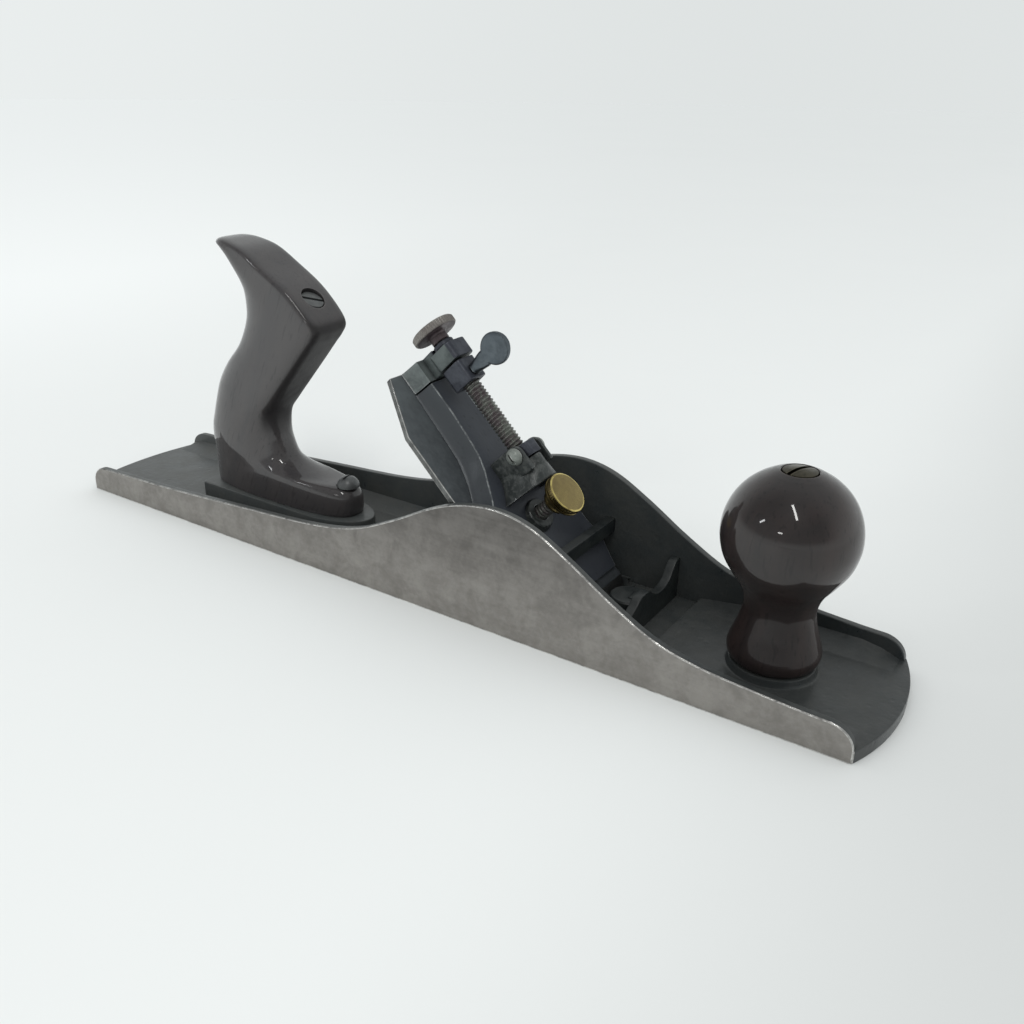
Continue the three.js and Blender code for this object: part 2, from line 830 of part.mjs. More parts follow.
// Sections of the lever cap from its nose to its tail: shares of its length, of its half
// width at its foot and along its top edges, and of its thickness.
const leverCapSectionShares = [
  [0, 1, 0.97, 0.62],
  [0.04, 1, 0.97, 0.7],
  [0.1, 1, 0.97, 0.86],
  [0.13, 1, 0.97, 0.93],
  [0.16, 1, 0.97, 0.93],
  [0.19, 1, 0.97, 0.86],
  [0.24, 1, 0.97, 0.8],
  [0.32, 1, 0.97, 0.84],
  [0.373, 0.99, 0.94, 0.94],
  [0.412, 0.96, 0.88, 1],
  [0.439, 0.92, 0.81, 1],
  [0.477, 0.84, 0.7, 1],
  [0.517, 0.745, 0.61, 1],
  [0.557, 0.66, 0.53, 1],
  [0.6, 0.58, 0.44, 1],
  [0.655, 0.51, 0.362, 1],
  [0.7, 0.465, 0.325, 1],
  [0.757, 0.44, 0.3, 1],
  [0.877, 0.41, 0.28, 1],
  [1, 0.35, 0.22, 1],
];
const flankBendShare = 0.35; // of a flank's width, at half of its height

const leverCapLength = leverCapTail - leverCapNose;

/** Section across a casting on the iron, with flanks that fall from its top to its lip. */
function flankedRing(up, footHalf, topHalf, low, high) {
  const lip = low + leverCapLip;
  const bendHalf = topHalf + (footHalf - topHalf) * flankBendShare;
  const bend = (lip + high) / 2;
  return [
    [up, -footHalf, low],
    [up, -footHalf, lip],
    [up, -bendHalf, bend],
    [up, -topHalf, high],
    [up, topHalf, high],
    [up, bendHalf, bend],
    [up, footHalf, lip],
    [up, footHalf, low],
  ];
}

/** Ring of points of an arch that stands across the iron. */
function archRing(up, half, low, high) {
  const steps = arcSteps + arcSteps;
  const ring = [];
  for (let i = 0; i <= steps; i += 1) {
    const angle = (Math.PI * i) / steps;
    ring.push([up, -Math.cos(angle) * half, low + Math.sin(angle) * (high - low)]);
  }
  return ring;
}

// How far the hood is drawn in at shares of its length from its wide front.
const hoodBendShares = [[0, 0], [0.33, 0.45], [0.67, 0.8], [1, 1]];

/** Arched solid from a wide front to a narrower back. */
function hoodSolid(front, back, low) {
  return skinned(hoodBendShares.map(([run, drawn]) => archRing(
    front.up + (back.up - front.up) * run,
    front.half + (back.half - front.half) * drawn,
    low,
    front.top + (back.top - front.top) * drawn,
  )));
}

/** Side cheek of the hood that carries a trunnion screw. */
function hoodEar(side) {
  const round = trunnionRadius + boreGap + earThickness;
  const outline = new THREE.Shape();
  outline.moveTo(hoodBack - earRun / 2, leverCapThickness - weld);
  outline.lineTo(nutMiddle + round, leverCapThickness - weld);
  outline.absarc(nutMiddle, trunnionHeight, round, 0, Math.PI / 2, false);
  outline.lineTo(hoodBack - earRun / 2, trunnionHeight);
  const inner = nutHalfWidth + seatGap;
  const ends = [inner * side, (inner + earThickness) * side].sort((a, b) => a - b);
  return across(outline, ends[0], ends[1]);
}

function makeLeverCap() {
  const plate = skinned(leverCapSectionShares.map(([run, foot, top, high]) => flankedRing(
    leverCapNose + run * leverCapLength,
    foot * leverCapHalfWidth,
    top * leverCapHalfWidth,
    capIronLow,
    high * leverCapThickness,
  )));
  const capIronRoom = capIronEnd + feedBack + seatGap;
  const humpRoom = capIronLevel + feedBack;
  const hood = hoodSolid(
    { up: hoodFront, half: hoodFrontHalfWidth, top: hoodFrontTop },
    { up: hoodBack, half: hoodBackHalfWidth, top: hoodBackTop },
    leverCapThickness - weld,
  );
  const hollow = hoodSolid(
    { up: hoodFront - weld, half: hoodFrontHalfWidth - hoodWall, top: hoodFrontTop - hoodWall },
    { up: hoodFront + hoodHollowRun, half: hoodBackHalfWidth, top: rodHeight },
    leverCapThickness,
  );
  const boreStart = hoodFront + hoodHollowRun / 2;
  const rodBore = laidAlong(pin(rodRadius + boreGap, boreStart, hoodBack + overrun), rodHeight);
  const trunnionHole = pin(trunnionRadius + boreGap, -ironWidth, ironWidth, 0, 0, smallSides);
  trunnionHole.rotateX(Math.PI / 2).translate(nutMiddle, 0, trunnionHeight);
  const joined = join(
    plate,
    hood,
    hoodEar(-1),
    hoodEar(1),
    pin(clampBossRadius, overCapIron + weld, clampBossTop, clampScrewPlace),
  );
  return cut(
    joined,
    block(leverCapNose - weld, capIronRoom, -ironWidth, ironWidth, -overrun, overCapIron),
    block(leverCapNose - weld, humpRoom, -ironWidth, ironWidth, -overrun, overCapIron + capIronHump),
    hollow,
    rodBore,
    trunnionHole,
    pin(clampShankRadius + boreGap, -overrun, clampBossTop + overrun, clampScrewPlace),
    block(
      hoodBack,
      hoodBack + nutLength + seatGap + seatGap,
      -nutHalfWidth - seatGap,
      nutHalfWidth + seatGap,
      leverCapThickness,
      nutTop + overrun,
    ),
  );
}

function makeNutBlock() {
  const start = hoodBack + seatGap;
  const low = leverCapThickness + seatGap;
  const shoulder = nutTop - nutShoulderDrop;
  const body = along(outlineOf([
    [-nutHalfWidth, low],
    [nutHalfWidth, low],
    [nutHalfWidth, shoulder],
    [nutShoulder, nutTop],
    [-nutShoulder, nutTop],
    [-nutHalfWidth, shoulder],
  ]), start, start + nutLength);
  const end = start + nutLength;
  const rodBore = laidAlong(pin(rodRadius + boreGap, start - overrun, end + overrun), rodHeight);
  const hole = pin(
    trunnionRadius + boreGap,
    nutHalfWidth - trunnionDepth - seatGap,
    nutHalfWidth + overrun,
    0,
    0,
    smallSides,
  );
  const right = hole.clone().rotateX(-Math.PI / 2).translate(nutMiddle, 0, trunnionHeight);
  const left = hole.rotateX(Math.PI / 2).translate(nutMiddle, 0, trunnionHeight);
  return cut(body, rodBore, right, left);
}

/** Round headed screw through an ear of the hood into the nut block, on one side. */
function makeTrunnionScrew(side) {
  const seat = nutHalfWidth + seatGap + earThickness + seatGap;
  const dome = [];
  for (let i = 0; i <= edgeSteps + edgeSteps; i += 1) {
    const angle = (Math.PI / 2) * (i / (edgeSteps + edgeSteps));
    dome.push([Math.cos(angle) * trunnionHeadRadius, seat + Math.sin(angle) * trunnionHeadHeight]);
  }
  const screw = turned([
    [0, nutHalfWidth - trunnionDepth],
    [trunnionRadius, nutHalfWidth - trunnionDepth],
    [trunnionRadius, seat],
    ...dome,
  ], 0, 0, smallSides);
  return screw.rotateX((-Math.PI / 2) * side).translate(nutMiddle, 0, trunnionHeight);
}

function makeClampScrew() {
  const top = clampHubStart + clampShankEngagement;
  return geometryFrom(solidFrom(pin(clampShankRadius, overCapIron, top, clampScrewPlace)));
}

function makeClampHead() {
  const bore = clampShankRadius + boreGap;
  const low = clampHubStart;
  const seat = low + clampHubLength;
  const top = seat + clampDiscThickness;
  const middle = seat + clampDiscThickness * clampGrooveShare;
  const roof = low + clampShankEngagement + seatGap;
  return geometryFrom(solidFrom(turned([
    [0, roof],
    [bore, roof],
    [bore, low],
    [clampHubRadius, low],
    [clampHubRadius, seat],
    [clampDiscRadius - clampGroove, seat],
    [clampDiscRadius, seat + clampGroove],
    [clampDiscRadius, middle - clampGroove],
    [clampDiscRadius - clampGroove, middle],
    [clampDiscRadius, middle + clampGroove],
    [clampDiscRadius, top - clampGroove],
    [clampDiscRadius - clampGroove, top],
    [0, top],
  ], clampScrewPlace, 0, fineSides)));
}

// Along the adjuster screw: its shoulder, the bracket, the wheel's hub and the wheel.
const shoulderUp = bracketStart - seatGap;
const hubUp = bracketEnd + seatGap;
const wheelUp = hubUp + wheelHubLength;
const wheelTop = wheelUp + wheelThickness;

function makeAdjusterScrew() {
  return geometryFrom(solidFrom(laidAlong(turned([
    [0, rodStart],
    [rodRadius, rodStart],
    [rodRadius, shoulderUp],
    [shankRadius, shoulderUp],
    [shankRadius, wheelTop + rodEndLength],
    [0, wheelTop + rodEndLength],
  ]), rodHeight)));
}

function makeAdjusterWheel() {
  const rim = [];
  for (let i = 0; i < wheelTeeth + wheelTeeth; i += 1) {
    const angle = (Math.PI * i) / wheelTeeth;
    const radius = i % 2 === 0 ? wheelRadius : wheelRadius - wheelToothDepth;
    rim.push([Math.cos(angle) * radius, Math.sin(angle) * radius]);
  }
  const envelope = turned([
    [0, wheelUp],
    [wheelRadius - wheelChamfer, wheelUp],
    [wheelRadius + weld, wheelUp + wheelChamfer + weld],
    [wheelRadius + weld, wheelTop - wheelChamfer - weld],
    [wheelRadius - wheelChamfer, wheelTop],
    [0, wheelTop],
  ], 0, 0, wheelTeeth);
  const disc = overlap(risen(outlineOf(rim), wheelUp, wheelTop), envelope);
  const wheel = cut(
    join(disc, pin(wheelHubRadius, hubUp, wheelUp + weld)),
    pin(shankRadius + boreGap, hubUp - overrun, wheelTop + overrun),
  );
  return laidAlong(wheel, rodHeight);
}

/** Bar along the iron with its corners cut off, between two heights. */
function corneredBar(start, end, half, low, high, corner) {
  return along(outlineOf([
    [-half, low + corner],
    [-half + corner, low],
    [half - corner, low],
    [half, low + corner],
    [half, high - corner],
    [half - corner, high],
    [-half + corner, high],
    [-half, high - corner],
  ]), start, end);
}

function makeAdjusterBracket() {
  const footRing = (up) => flankedRing(
    up, bracketFootHalfWidth, bracketFootTopHalfWidth, capIronLow, bracketFootHeight);
  return cut(
    join(
      skinned([footRing(bracketStart), footRing(bracketEnd)]),
      block(
        bracketStart,
        bracketEnd,
        -bracketPostHalfWidth,
        bracketPostHalfWidth,
        bracketFootHeight - weld,
        bracketHeadBottom + weld,
      ),
      corneredBar(
        bracketStart,
        bracketStart + bracketHeadLength,
        bracketHalfWidth,
        bracketHeadBottom,
        bracketTop,
        bracketCorner,
      ),
      laidAlong(pin(bracketBossRadius, bracketMiddle, bracketEnd), rodHeight),
    ),
    laidAlong(pin(shankRadius + boreGap, bracketStart - overrun, bracketEnd + overrun), rodHeight),
    pin(rivetRadius + boreGap, -overrun, rivetDepth + seatGap, bracketMiddle, 0, smallSides),
  );
}

function makeBracketRivet() {
  return geometryFrom(solidFrom(pin(rivetRadius, cutterUnder, rivetDepth, bracketMiddle, 0, smallSides)));
}

function makeAdjusterBlock() {
  return cut(
    corneredBar(blockStart, blockEnd, blockHalfWidth, blockBottom, blockTop, blockCorner),
    laidAlong(pin(rodRadius + boreGap, blockStart - overrun, blockEnd + overrun), rodHeight),
    pin(lockScrewRadius + boreGap, rodHeight, blockTop + overrun, lockScrewPlace, 0, smallSides),
  );
}

function makeLockScrew() {
  const low = rodHeight + rodRadius + boreGap;
  const seat = blockTop + seatGap;
  const neckTop = paddleHeight - paddleRadius + lockNeckFlare / 2;
  const neck = turned([
    [0, low],
    [lockScrewRadius, low],
    [lockScrewRadius, seat],
    [lockNeckRadius, seat],
    [lockNeckRadius, (seat + neckTop) / 2],
    [lockNeckFlare, neckTop],
    [0, neckTop],
  ], lockScrewPlace);
  const half = paddleThickness / 2;
  const rim = paddleThickness * paddleRimShare;
  const paddle = turned([
    [0, -half],
    [paddleRadius - rim, -half],
    [paddleRadius, -half + rim],
    [paddleRadius, half - rim],
    [paddleRadius - rim, half],
    [0, half],
  ]);
  paddle.rotateX(Math.PI / 2).translate(lockScrewPlace, 0, paddleHeight);
  return join(neck, paddle);
}

// Sections of the tote from its foot to the tip of the horn. Each runs from a point on its
// back to one on its front, as shares of its reach and height, and has how square its back
// and its front are and a share of its thickness.
const toteSectionShares = [
  [-0.035, 0, 1.012, 0, 2.6, 2.8, 1],
  [-0.039, 0.033, 1.02, 0.033, 2.6, 2.8, 1],
  [-0.041, 0.08, 1.012, 0.082, 2.6, 2.6, 1],
  [-0.041, 0.118, 0.955, 0.108, 2.6, 2.4, 0.98],
  [-0.038, 0.16, 0.76, 0.117, 2.6, 2.2, 0.97],
  [-0.032, 0.2, 0.59, 0.15, 2.6, 2.2, 0.98],
  [-0.018, 0.253, 0.518, 0.214, 2.6, 2.4, 1],
  [0.009, 0.304, 0.493, 0.278, 2.6, 2.6, 1],
  [0.035, 0.354, 0.494, 0.341, 2.6, 3, 1],
  [0.085, 0.445, 0.537, 0.39, 2.6, 4, 1],
  [0.166, 0.525, 0.632, 0.475, 2.8, 6, 1],
  [0.269, 0.601, 0.751, 0.578, 3, 8, 1],
  [0.325, 0.67, 0.83, 0.645, 3, 8, 1],
  [0.353, 0.728, 0.873, 0.683, 3, 8, 1],
  [0.356, 0.781, 0.896, 0.722, 3, 8, 1],
  [0.351, 0.828, 0.84, 0.775, 3, 8, 1],
  [0.333, 0.863, 0.728, 0.847, 3, 8, 1],
  [0.305, 0.901, 0.575, 0.912, 3, 8, 1],
  [0.265, 0.934, 0.434, 0.969, 2.8, 8, 0.94],
  [0.226, 0.958, 0.314, 0.994, 2.6, 6, 0.84],
  [0.184, 0.97, 0.235, 1.002, 2.4, 4, 0.68],
  [0.152, 0.979, 0.188, 0.998, 2.2, 3, 0.44],
];

/** Ring of points round one section of the tote. */
function toteRing([backX, backZ, frontX, frontZ, backSquare, frontSquare, thick]) {
  const half = (toteThickness / 2) * thick;
  const ring = [];
  for (let i = 0; i < toteSides; i += 1) {
    const turn = (Math.PI * 2 * i) / toteSides;
    const run = Math.cos(turn);
    const square = run < 0 ? backSquare : frontSquare;
    const out = (1 - Math.abs(run) ** square) ** (1 / square);
    const share = (run + 1) / 2;
    ring.push([
      toteX + (backX + (frontX - backX) * share) * toteReach,
      Math.sign(Math.sin(turn)) * out * half,
      toteFoot + (backZ + (frontZ - backZ) * share) * toteHeight,
    ]);
  }
  return ring;
}

function makeTote() {
  const rodTop = toteRodReach - toteNutHeight / 2;
  const seat = toteFoot + toeScrewSeat;
  return cut(
    skinned(toteSectionShares.map(toteRing)),
    onToteRod(pin(toteRodRadius + boreGap, -overrun, toteRodReach)),
    onToteRod(pin(toteNutRadius + boreGap, rodTop - seatGap, toteRodReach + toteHeight)),
    pin(toeScrewRadius + boreGap, toteFoot - overrun, seat + overrun, toteX + toeScrewX, 0, smallSides),
    pin(toeScrewHeadRadius + boreGap, seat, seat + toeScrewHeadHeight + overrun, toteX + toeScrewX),
  );
}

function makeToteRod() {
  const top = toteRodReach - nutSlotDepth;
  return geometryFrom(solidFrom(onToteRod(pin(toteRodRadius, -toteRodFoot, top, 0, 0, smallSides))));
}

/** Slotted nut over the end of a rod, made about the z axis. */
function slottedNut(radius, rodRadiusInside, low, rodTop, top, crown) {
  const bore = rodRadiusInside + boreGap;
  const nut = turned([
    [0, rodTop + boreGap],
    [bore, rodTop + boreGap],
    [bore, low],
    [radius, low],
    [radius, top],
    [radius / 2, top + crown * crownShare],
    [0, top + crown],
  ]);
  const slot = block(
    -radius - weld,
    radius + weld,
    -nutSlotWidth / 2,
    nutSlotWidth / 2,
    top - nutSlotDepth + crown,
    top + overrun,
  );
  return cut(nut, slot);
}

function makeToteNut() {
  const low = toteRodReach - toteNutHeight / 2;
  const top = low + toteNutHeight;
  const rodTop = toteRodReach - nutSlotDepth;
  const nut = slottedNut(toteNutRadius, toteRodRadius, low, rodTop, top, 0);
  return onToteRod(nut.rotateZ(Math.PI / 3));
}

function makeToeScrew() {
  const seat = toteFoot + toeScrewSeat + seatGap;
  const dome = [];
  for (let i = 0; i <= edgeSteps + edgeSteps; i += 1) {
    const angle = (Math.PI / 2) * (i / (edgeSteps + edgeSteps));
    dome.push([Math.cos(angle) * toeScrewHeadRadius, seat + Math.sin(angle) * toeScrewHeadHeight]);
  }
  const screw = turned([
    [0, toteFoot - toeScrewFoot],
    [toeScrewRadius, toteFoot - toeScrewFoot],
    [toeScrewRadius, seat],
    ...dome,
  ], toteX + toeScrewX);
  const top = seat + toeScrewHeadHeight;
  const middle = toteX + toeScrewX;
  return cut(screw, block(
    middle - nutSlotWidth / 2,
    middle + nutSlotWidth / 2,
    -toeScrewHeadRadius - weld,
    toeScrewHeadRadius + weld,
    top - nutSlotDepth,
    top + overrun,
  ));
}

// Profile of the knob: shares of its radius and of its height above the boss.
const knobShares = [
  [0.621, 0], [0.673, 0.02], [0.701, 0.051], [0.696, 0.079], [0.645, 0.133], [0.584, 0.195], [0.541, 0.257],
  [0.532, 0.301], [0.569, 0.358], [0.649, 0.412], [0.767, 0.467], [0.911, 0.544], [0.979, 0.614], [1, 0.681],
  [0.969, 0.761], [0.88, 0.837], [0.744, 0.901], [0.565, 0.952], [0.376, 0.987],
];

const knobNutLow = knobFoot + knobHeight - knobNutHeight;

function makeKnob() {
  const bore = knobRodRadius + boreGap;
  const nutBore = knobNutRadius + boreGap;
  const outside = smoothed(
    knobShares.map(([wide, high]) => [wide * knobRadius, knobFoot + high * knobHeight]),
    arcSteps + arcSteps + arcSteps,
  );
  const seat = knobNutLow - seatGap;
  return geometryFrom(solidFrom(turned([
    [bore, knobFoot],
    ...outside,
    [nutBore, knobFoot + knobHeight],
    [nutBore, seat],
    [bore, seat],
    [bore, knobFoot],
  ], knobX, 0, fineSides)));
}

const knobRodTop = knobFoot + knobHeight - nutSlotDepth - boreGap - boreGap;

function makeKnobRod() {
  const rod = pin(knobRodRadius, knobFoot - knobRodFoot, knobRodTop, knobX, 0, smallSides);
  return geometryFrom(solidFrom(rod));
}

function makeKnobNut() {
  const top = knobFoot + knobHeight;
  const nut = slottedNut(knobNutRadius, knobRodRadius, knobNutLow, knobRodTop, top, knobNutCrown);
  return nut.rotateZ(Math.PI / 2 - Math.PI / 8).translate(knobX, 0, 0);
}

addPiece(plane, 'body_casting', 'blackIron', makeBodyCasting());
addPiece(plane, 'cross_bar', 'blackIron', makeCrossBar());
addPiece(plane, 'knob_boss', 'blackIron', makeKnobBoss());
addPiece(plane, 'frog', 'blackIron', makeFrog());
for (const [side, sign] of [['right', -1], ['left', 1]]) {
  addPiece(plane, `frog_washer_${side}`, 'brightSteel', makeFrogWasher(frogScrewSpread * sign));
  addPiece(plane, `frog_screw_${side}`, 'brightSteel', makeFrogScrew(frogScrewSpread * sign));
}

addPiece(ironFrame, 'cutter_iron', 'bluedSteel', makeCutterIron());
addPiece(ironFrame, 'cap_iron', 'bluedSteel', makeCapIron());
addPiece(ironFrame, 'cap_iron_screw', 'bluedSteel', makeCapIronScrew());
addPiece(ironFrame, 'lever_cap', 'blackIron', makeLeverCap());
addPiece(ironFrame, 'nut_block', 'bluedSteel', makeNutBlock());
addPiece(ironFrame, 'trunnion_screw_right', 'brightSteel', makeTrunnionScrew(1));
addPiece(ironFrame, 'trunnion_screw_left', 'brightSteel', makeTrunnionScrew(-1));
addPiece(ironFrame, 'clamp_screw', 'brightSteel', makeClampScrew());
addPiece(ironFrame, 'clamp_thumb_head', 'brass', makeClampHead());
addPiece(ironFrame, 'adjuster_screw', 'bluedSteel', makeAdjusterScrew());
addPiece(ironFrame, 'adjuster_wheel', 'bronze', makeAdjusterWheel());
addPiece(ironFrame, 'adjuster_bracket', 'brightSteel', makeAdjusterBracket());
addPiece(ironFrame, 'bracket_rivet', 'brightSteel', makeBracketRivet());
addPiece(ironFrame, 'adjuster_block', 'bluedSteel', makeAdjusterBlock());
addPiece(ironFrame, 'lock_screw', 'bluedSteel', makeLockScrew());

addPiece(plane, 'tote', 'polishedWood', makeTote());
addPiece(plane, 'tote_rod', 'brightSteel', makeToteRod());
addPiece(plane, 'tote_nut', 'bluedSteel', makeToteNut());
addPiece(plane, 'tote_toe_screw', 'bluedSteel', makeToeScrew());
addPiece(plane, 'knob', 'polishedWood', makeKnob());
addPiece(plane, 'knob_rod', 'brightSteel', makeKnobRod());
addPiece(plane, 'knob_nut', 'bronze', makeKnobNut());

export default plane;
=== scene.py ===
"""Looks of a metal hand plane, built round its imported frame.

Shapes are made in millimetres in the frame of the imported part: X from heel to toe, Y across
the sole, Z up. A shape turns into metres when it becomes a piece. The irons and what they
carry are laid out in a frame of their own: up the iron, across it, and out of its face.
"""

from __future__ import annotations

import json
import logging
import math
from dataclasses import dataclass, field
from enum import Enum
from typing import Callable, Iterable, Sequence

import bmesh
import bpy
from mathutils import Matrix, Vector

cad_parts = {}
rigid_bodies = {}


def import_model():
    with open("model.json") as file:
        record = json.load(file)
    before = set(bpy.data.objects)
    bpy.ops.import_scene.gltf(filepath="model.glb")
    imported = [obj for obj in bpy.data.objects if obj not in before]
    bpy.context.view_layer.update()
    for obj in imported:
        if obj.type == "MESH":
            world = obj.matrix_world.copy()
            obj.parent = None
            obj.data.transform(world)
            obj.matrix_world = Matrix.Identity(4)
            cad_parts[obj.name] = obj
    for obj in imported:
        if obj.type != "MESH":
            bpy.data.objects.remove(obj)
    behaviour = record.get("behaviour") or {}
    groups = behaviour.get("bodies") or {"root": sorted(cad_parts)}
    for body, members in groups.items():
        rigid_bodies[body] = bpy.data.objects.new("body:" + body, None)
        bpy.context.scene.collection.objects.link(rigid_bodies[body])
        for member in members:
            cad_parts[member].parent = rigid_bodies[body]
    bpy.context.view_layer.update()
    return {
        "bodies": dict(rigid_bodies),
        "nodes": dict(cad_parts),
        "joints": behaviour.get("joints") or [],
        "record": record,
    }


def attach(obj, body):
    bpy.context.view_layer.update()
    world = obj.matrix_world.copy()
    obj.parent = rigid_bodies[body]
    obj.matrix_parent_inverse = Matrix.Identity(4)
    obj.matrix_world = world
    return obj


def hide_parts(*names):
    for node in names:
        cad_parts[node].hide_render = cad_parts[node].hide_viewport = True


LOG = logging.getLogger("hand_plane")
MILLIMETRE = 0.001
TINY = 1e-6
# Where the middle of the cutting iron would meet the sole
MOUTH_X = 69.9
# Height of the adjuster's rod out of the middle of the iron
ROD_HEIGHT = 17.55
# Far enough to reach past any part of the cap or between the walls
PAST = 30.0

Point = tuple[float, float, float]
Outline = list[tuple[float, float]]
Colour = tuple[float, float, float]
Shape = bpy.types.Object
Material = bpy.types.Material
Socket = bpy.types.NodeSocket


class Body(Enum):
    """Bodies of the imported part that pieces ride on."""

    CASTING = "body"
    CUTTER = "cutter"
    ADJUSTER = "adjuster"
    LOCK = "lock"
    CLAMP = "clamp"


class Sweep(Enum):
    """Axis that an outline is drawn out along, or that a profile is turned about."""

    UP = "up"
    ACROSS = "across"
    ALONG = "along"

    def point(self, u: float, v: float, w: float) -> Point:
        """Place of a point of an outline.

        Args:
            u: First direction of the outline.
            v: Second direction of the outline.
            w: Distance along the sweep.

        Returns:
            The point as x, y and z.
        """
        if self is Sweep.UP:
            return (u, v, w)
        if self is Sweep.ACROSS:
            return (u, w, v)
        return (w, u, v)


# Shapes


def iron_frame(mouth_x: float) -> Matrix:
    """Frame of the irons, bedded at 45 degrees.

    Args:
        mouth_x: Where the middle of the cutting iron would meet the sole.

    Returns:
        Matrix from up, across and out of the iron to the frame of the plane.
    """
    lean = math.sqrt(0.5)
    return Matrix(
        ((-lean, 0, lean, mouth_x), (0, -1, 0, 0), (lean, 0, lean, 0), (0, 0, 0, 1))
    )


LEVEL = Matrix.Identity(4)
IRON = iron_frame(MOUTH_X)
TO_IRON = IRON.inverted()
TURN_TO_IRON = IRON.to_3x3().inverted()


def smooth_line(points: Sequence[Sequence[float]], steps: int) -> list[tuple[float, ...]]:
    """Draws a smooth line through points.

    Args:
        points: Points of any number of values each.
        steps: Steps between two points.

    Returns:
        The points of the line, the given ones among them.
    """
    line: list[tuple[float, ...]] = []
    last = len(points) - 1
    for i in range(last):
        before, here = points[max(i - 1, 0)], points[i]
        after, beyond = points[i + 1], points[min(i + 2, last)]
        for k in range(steps):
            t = k / steps
            line.append(
                tuple(
                    b
                    + t * (c - a) / 2
                    + t * t * (2 * a - 5 * b + 4 * c - d) / 2
                    + t * t * t * (3 * b - a - 3 * c + d) / 2
                    for a, b, c, d in zip(before, here, after, beyond)
                )
            )
    line.append(tuple(points[last]))
    return line


def arc(middle: tuple[float, float], wide: float, high: float, start: float, end: float,
        steps: int) -> Outline:
    """Points of an elliptic arc.

    Args:
        middle: Its centre.
        wide: Half of its first axis.
        high: Half of its second axis.
        start: First angle in degrees.
        end: Last angle in degrees.
        steps: Steps along it.

    Returns:
        The points, both ends among them.
    """
    angles = [math.radians(start + (end - start) * i / steps) for i in range(steps + 1)]
    return [(middle[0] + wide * math.cos(a), middle[1] + high * math.sin(a)) for a in angles]


def placed(name: str, data: bpy.types.ID) -> Shape:
    """Makes an object of some data and puts it in the scene."""
    thing = bpy.data.objects.new(name, data)
    bpy.context.scene.collection.objects.link(thing)
    return thing


def new_shape(verts: Iterable[Sequence[float]], faces: Iterable[Sequence[int]],
              frame: Matrix = LEVEL) -> Shape:
    """Makes a closed mesh whose faces look outwards.

    Args:
        verts: Corners in millimetres.
        faces: Corner numbers of each face.
        frame: Frame that the corners are given in.

    Returns:
        The new object, still in millimetres.
    """
    mesh = bpy.data.meshes.new("shape")
    mesh.from_pydata([frame @ Vector(v) for v in verts], [], [tuple(f) for f in faces])
    work = bmesh.new()
    work.from_mesh(mesh)
    bmesh.ops.remove_doubles(work, verts=work.verts, dist=1e-4)
    bmesh.ops.recalc_face_normals(work, faces=work.faces)
    work.to_mesh(mesh)
    work.free()
    return placed("shape", mesh)


def settle(shape: Shape) -> Shape:
    """Turns the modifiers of a shape into mesh."""
    graph = bpy.context.evaluated_depsgraph_get()
    mesh = bpy.data.meshes.new_from_object(shape.evaluated_get(graph))
    shape.modifiers.clear()
    old = shape.data
    shape.data = mesh
    bpy.data.meshes.remove(old)
    return shape


def rounded(shape: Shape, width: float, segments: int = 2, angle: float = 35.0) -> Shape:
    """Rounds the edges of a shape.

    Args:
        shape: The shape.
        width: Width of the rounding in millimetres.
        segments: Strips of the rounding.
        angle: Least angle in degrees between faces whose edge is rounded.

    Returns:
        The shape.
    """
    bevel = shape.modifiers.new("rounding", "BEVEL")
    bevel.width = width
    bevel.segments = segments
    bevel.limit_method = "ANGLE"
    bevel.angle_limit = math.radians(angle)
    bevel.use_clamp_overlap = True
    bevel.miter_outer = "MITER_ARC"
    return settle(shape)


def combined(shape: Shape, others: Iterable[Shape], how: str) -> Shape:
    """Joins shapes to a shape or cuts them from it.

    Args:
        shape: The shape that stays.
        others: Closed shapes that are used up.
        how: UNION or DIFFERENCE.

    Returns:
        The shape.
    """
    used = list(others)
    for other in used:
        step = shape.modifiers.new("step", "BOOLEAN")
        step.operation = how
        step.solver = "MANIFOLD"
        step.object = other
    settle(shape)
    for other in used:
        mesh = other.data
        bpy.data.objects.remove(other)
        bpy.data.meshes.remove(mesh)
    return shape


def joined(shape: Shape, *others: Shape) -> Shape:
    """Joins shapes to a shape."""
    return combined(shape, others, "UNION")


def cut(shape: Shape, *others: Shape) -> Shape:
    """Cuts shapes from a shape."""
    return combined(shape, others, "DIFFERENCE")


def drawn(outline: Outline, low: float, high: float, sweep: Sweep, frame: Matrix = LEVEL,
          rounding: float = 0.0, segments: int = 2) -> Shape:
    """Draws an outline out along an axis.

    Args:
        outline: Its corners in order.
        low: Where it starts along the axis.
        high: Where it ends along the axis.
        sweep: The axis.
        frame: Frame that it is given in.
        rounding: Width of its rounded edges.
        segments: Strips of each rounding.

    Returns:
        The shape.
    """
    count = len(outline)
    verts = [sweep.point(u, v, w) for w in (low, high) for u, v in outline]
    faces: list[Sequence[int]] = [list(range(count)), list(range(count, 2 * count))]
    for i in range(count):
        j = (i + 1) % count
        faces.append((i, j, j + count, i + count))
    shape = new_shape(verts, faces, frame)
    return rounded(shape, rounding, segments) if rounding > 0 else shape


def slab(low: Point, high: Point, frame: Matrix = LEVEL, rounding: float = 0.0) -> Shape:
    """Makes a block between two corners, with rounded edges if asked."""
    outline = [(low[0], low[1]), (high[0], low[1]), (high[0], high[1]), (low[0], high[1])]
    return drawn(outline, low[2], high[2], Sweep.UP, frame, rounding)


Ripple = Callable[[float, float], float]


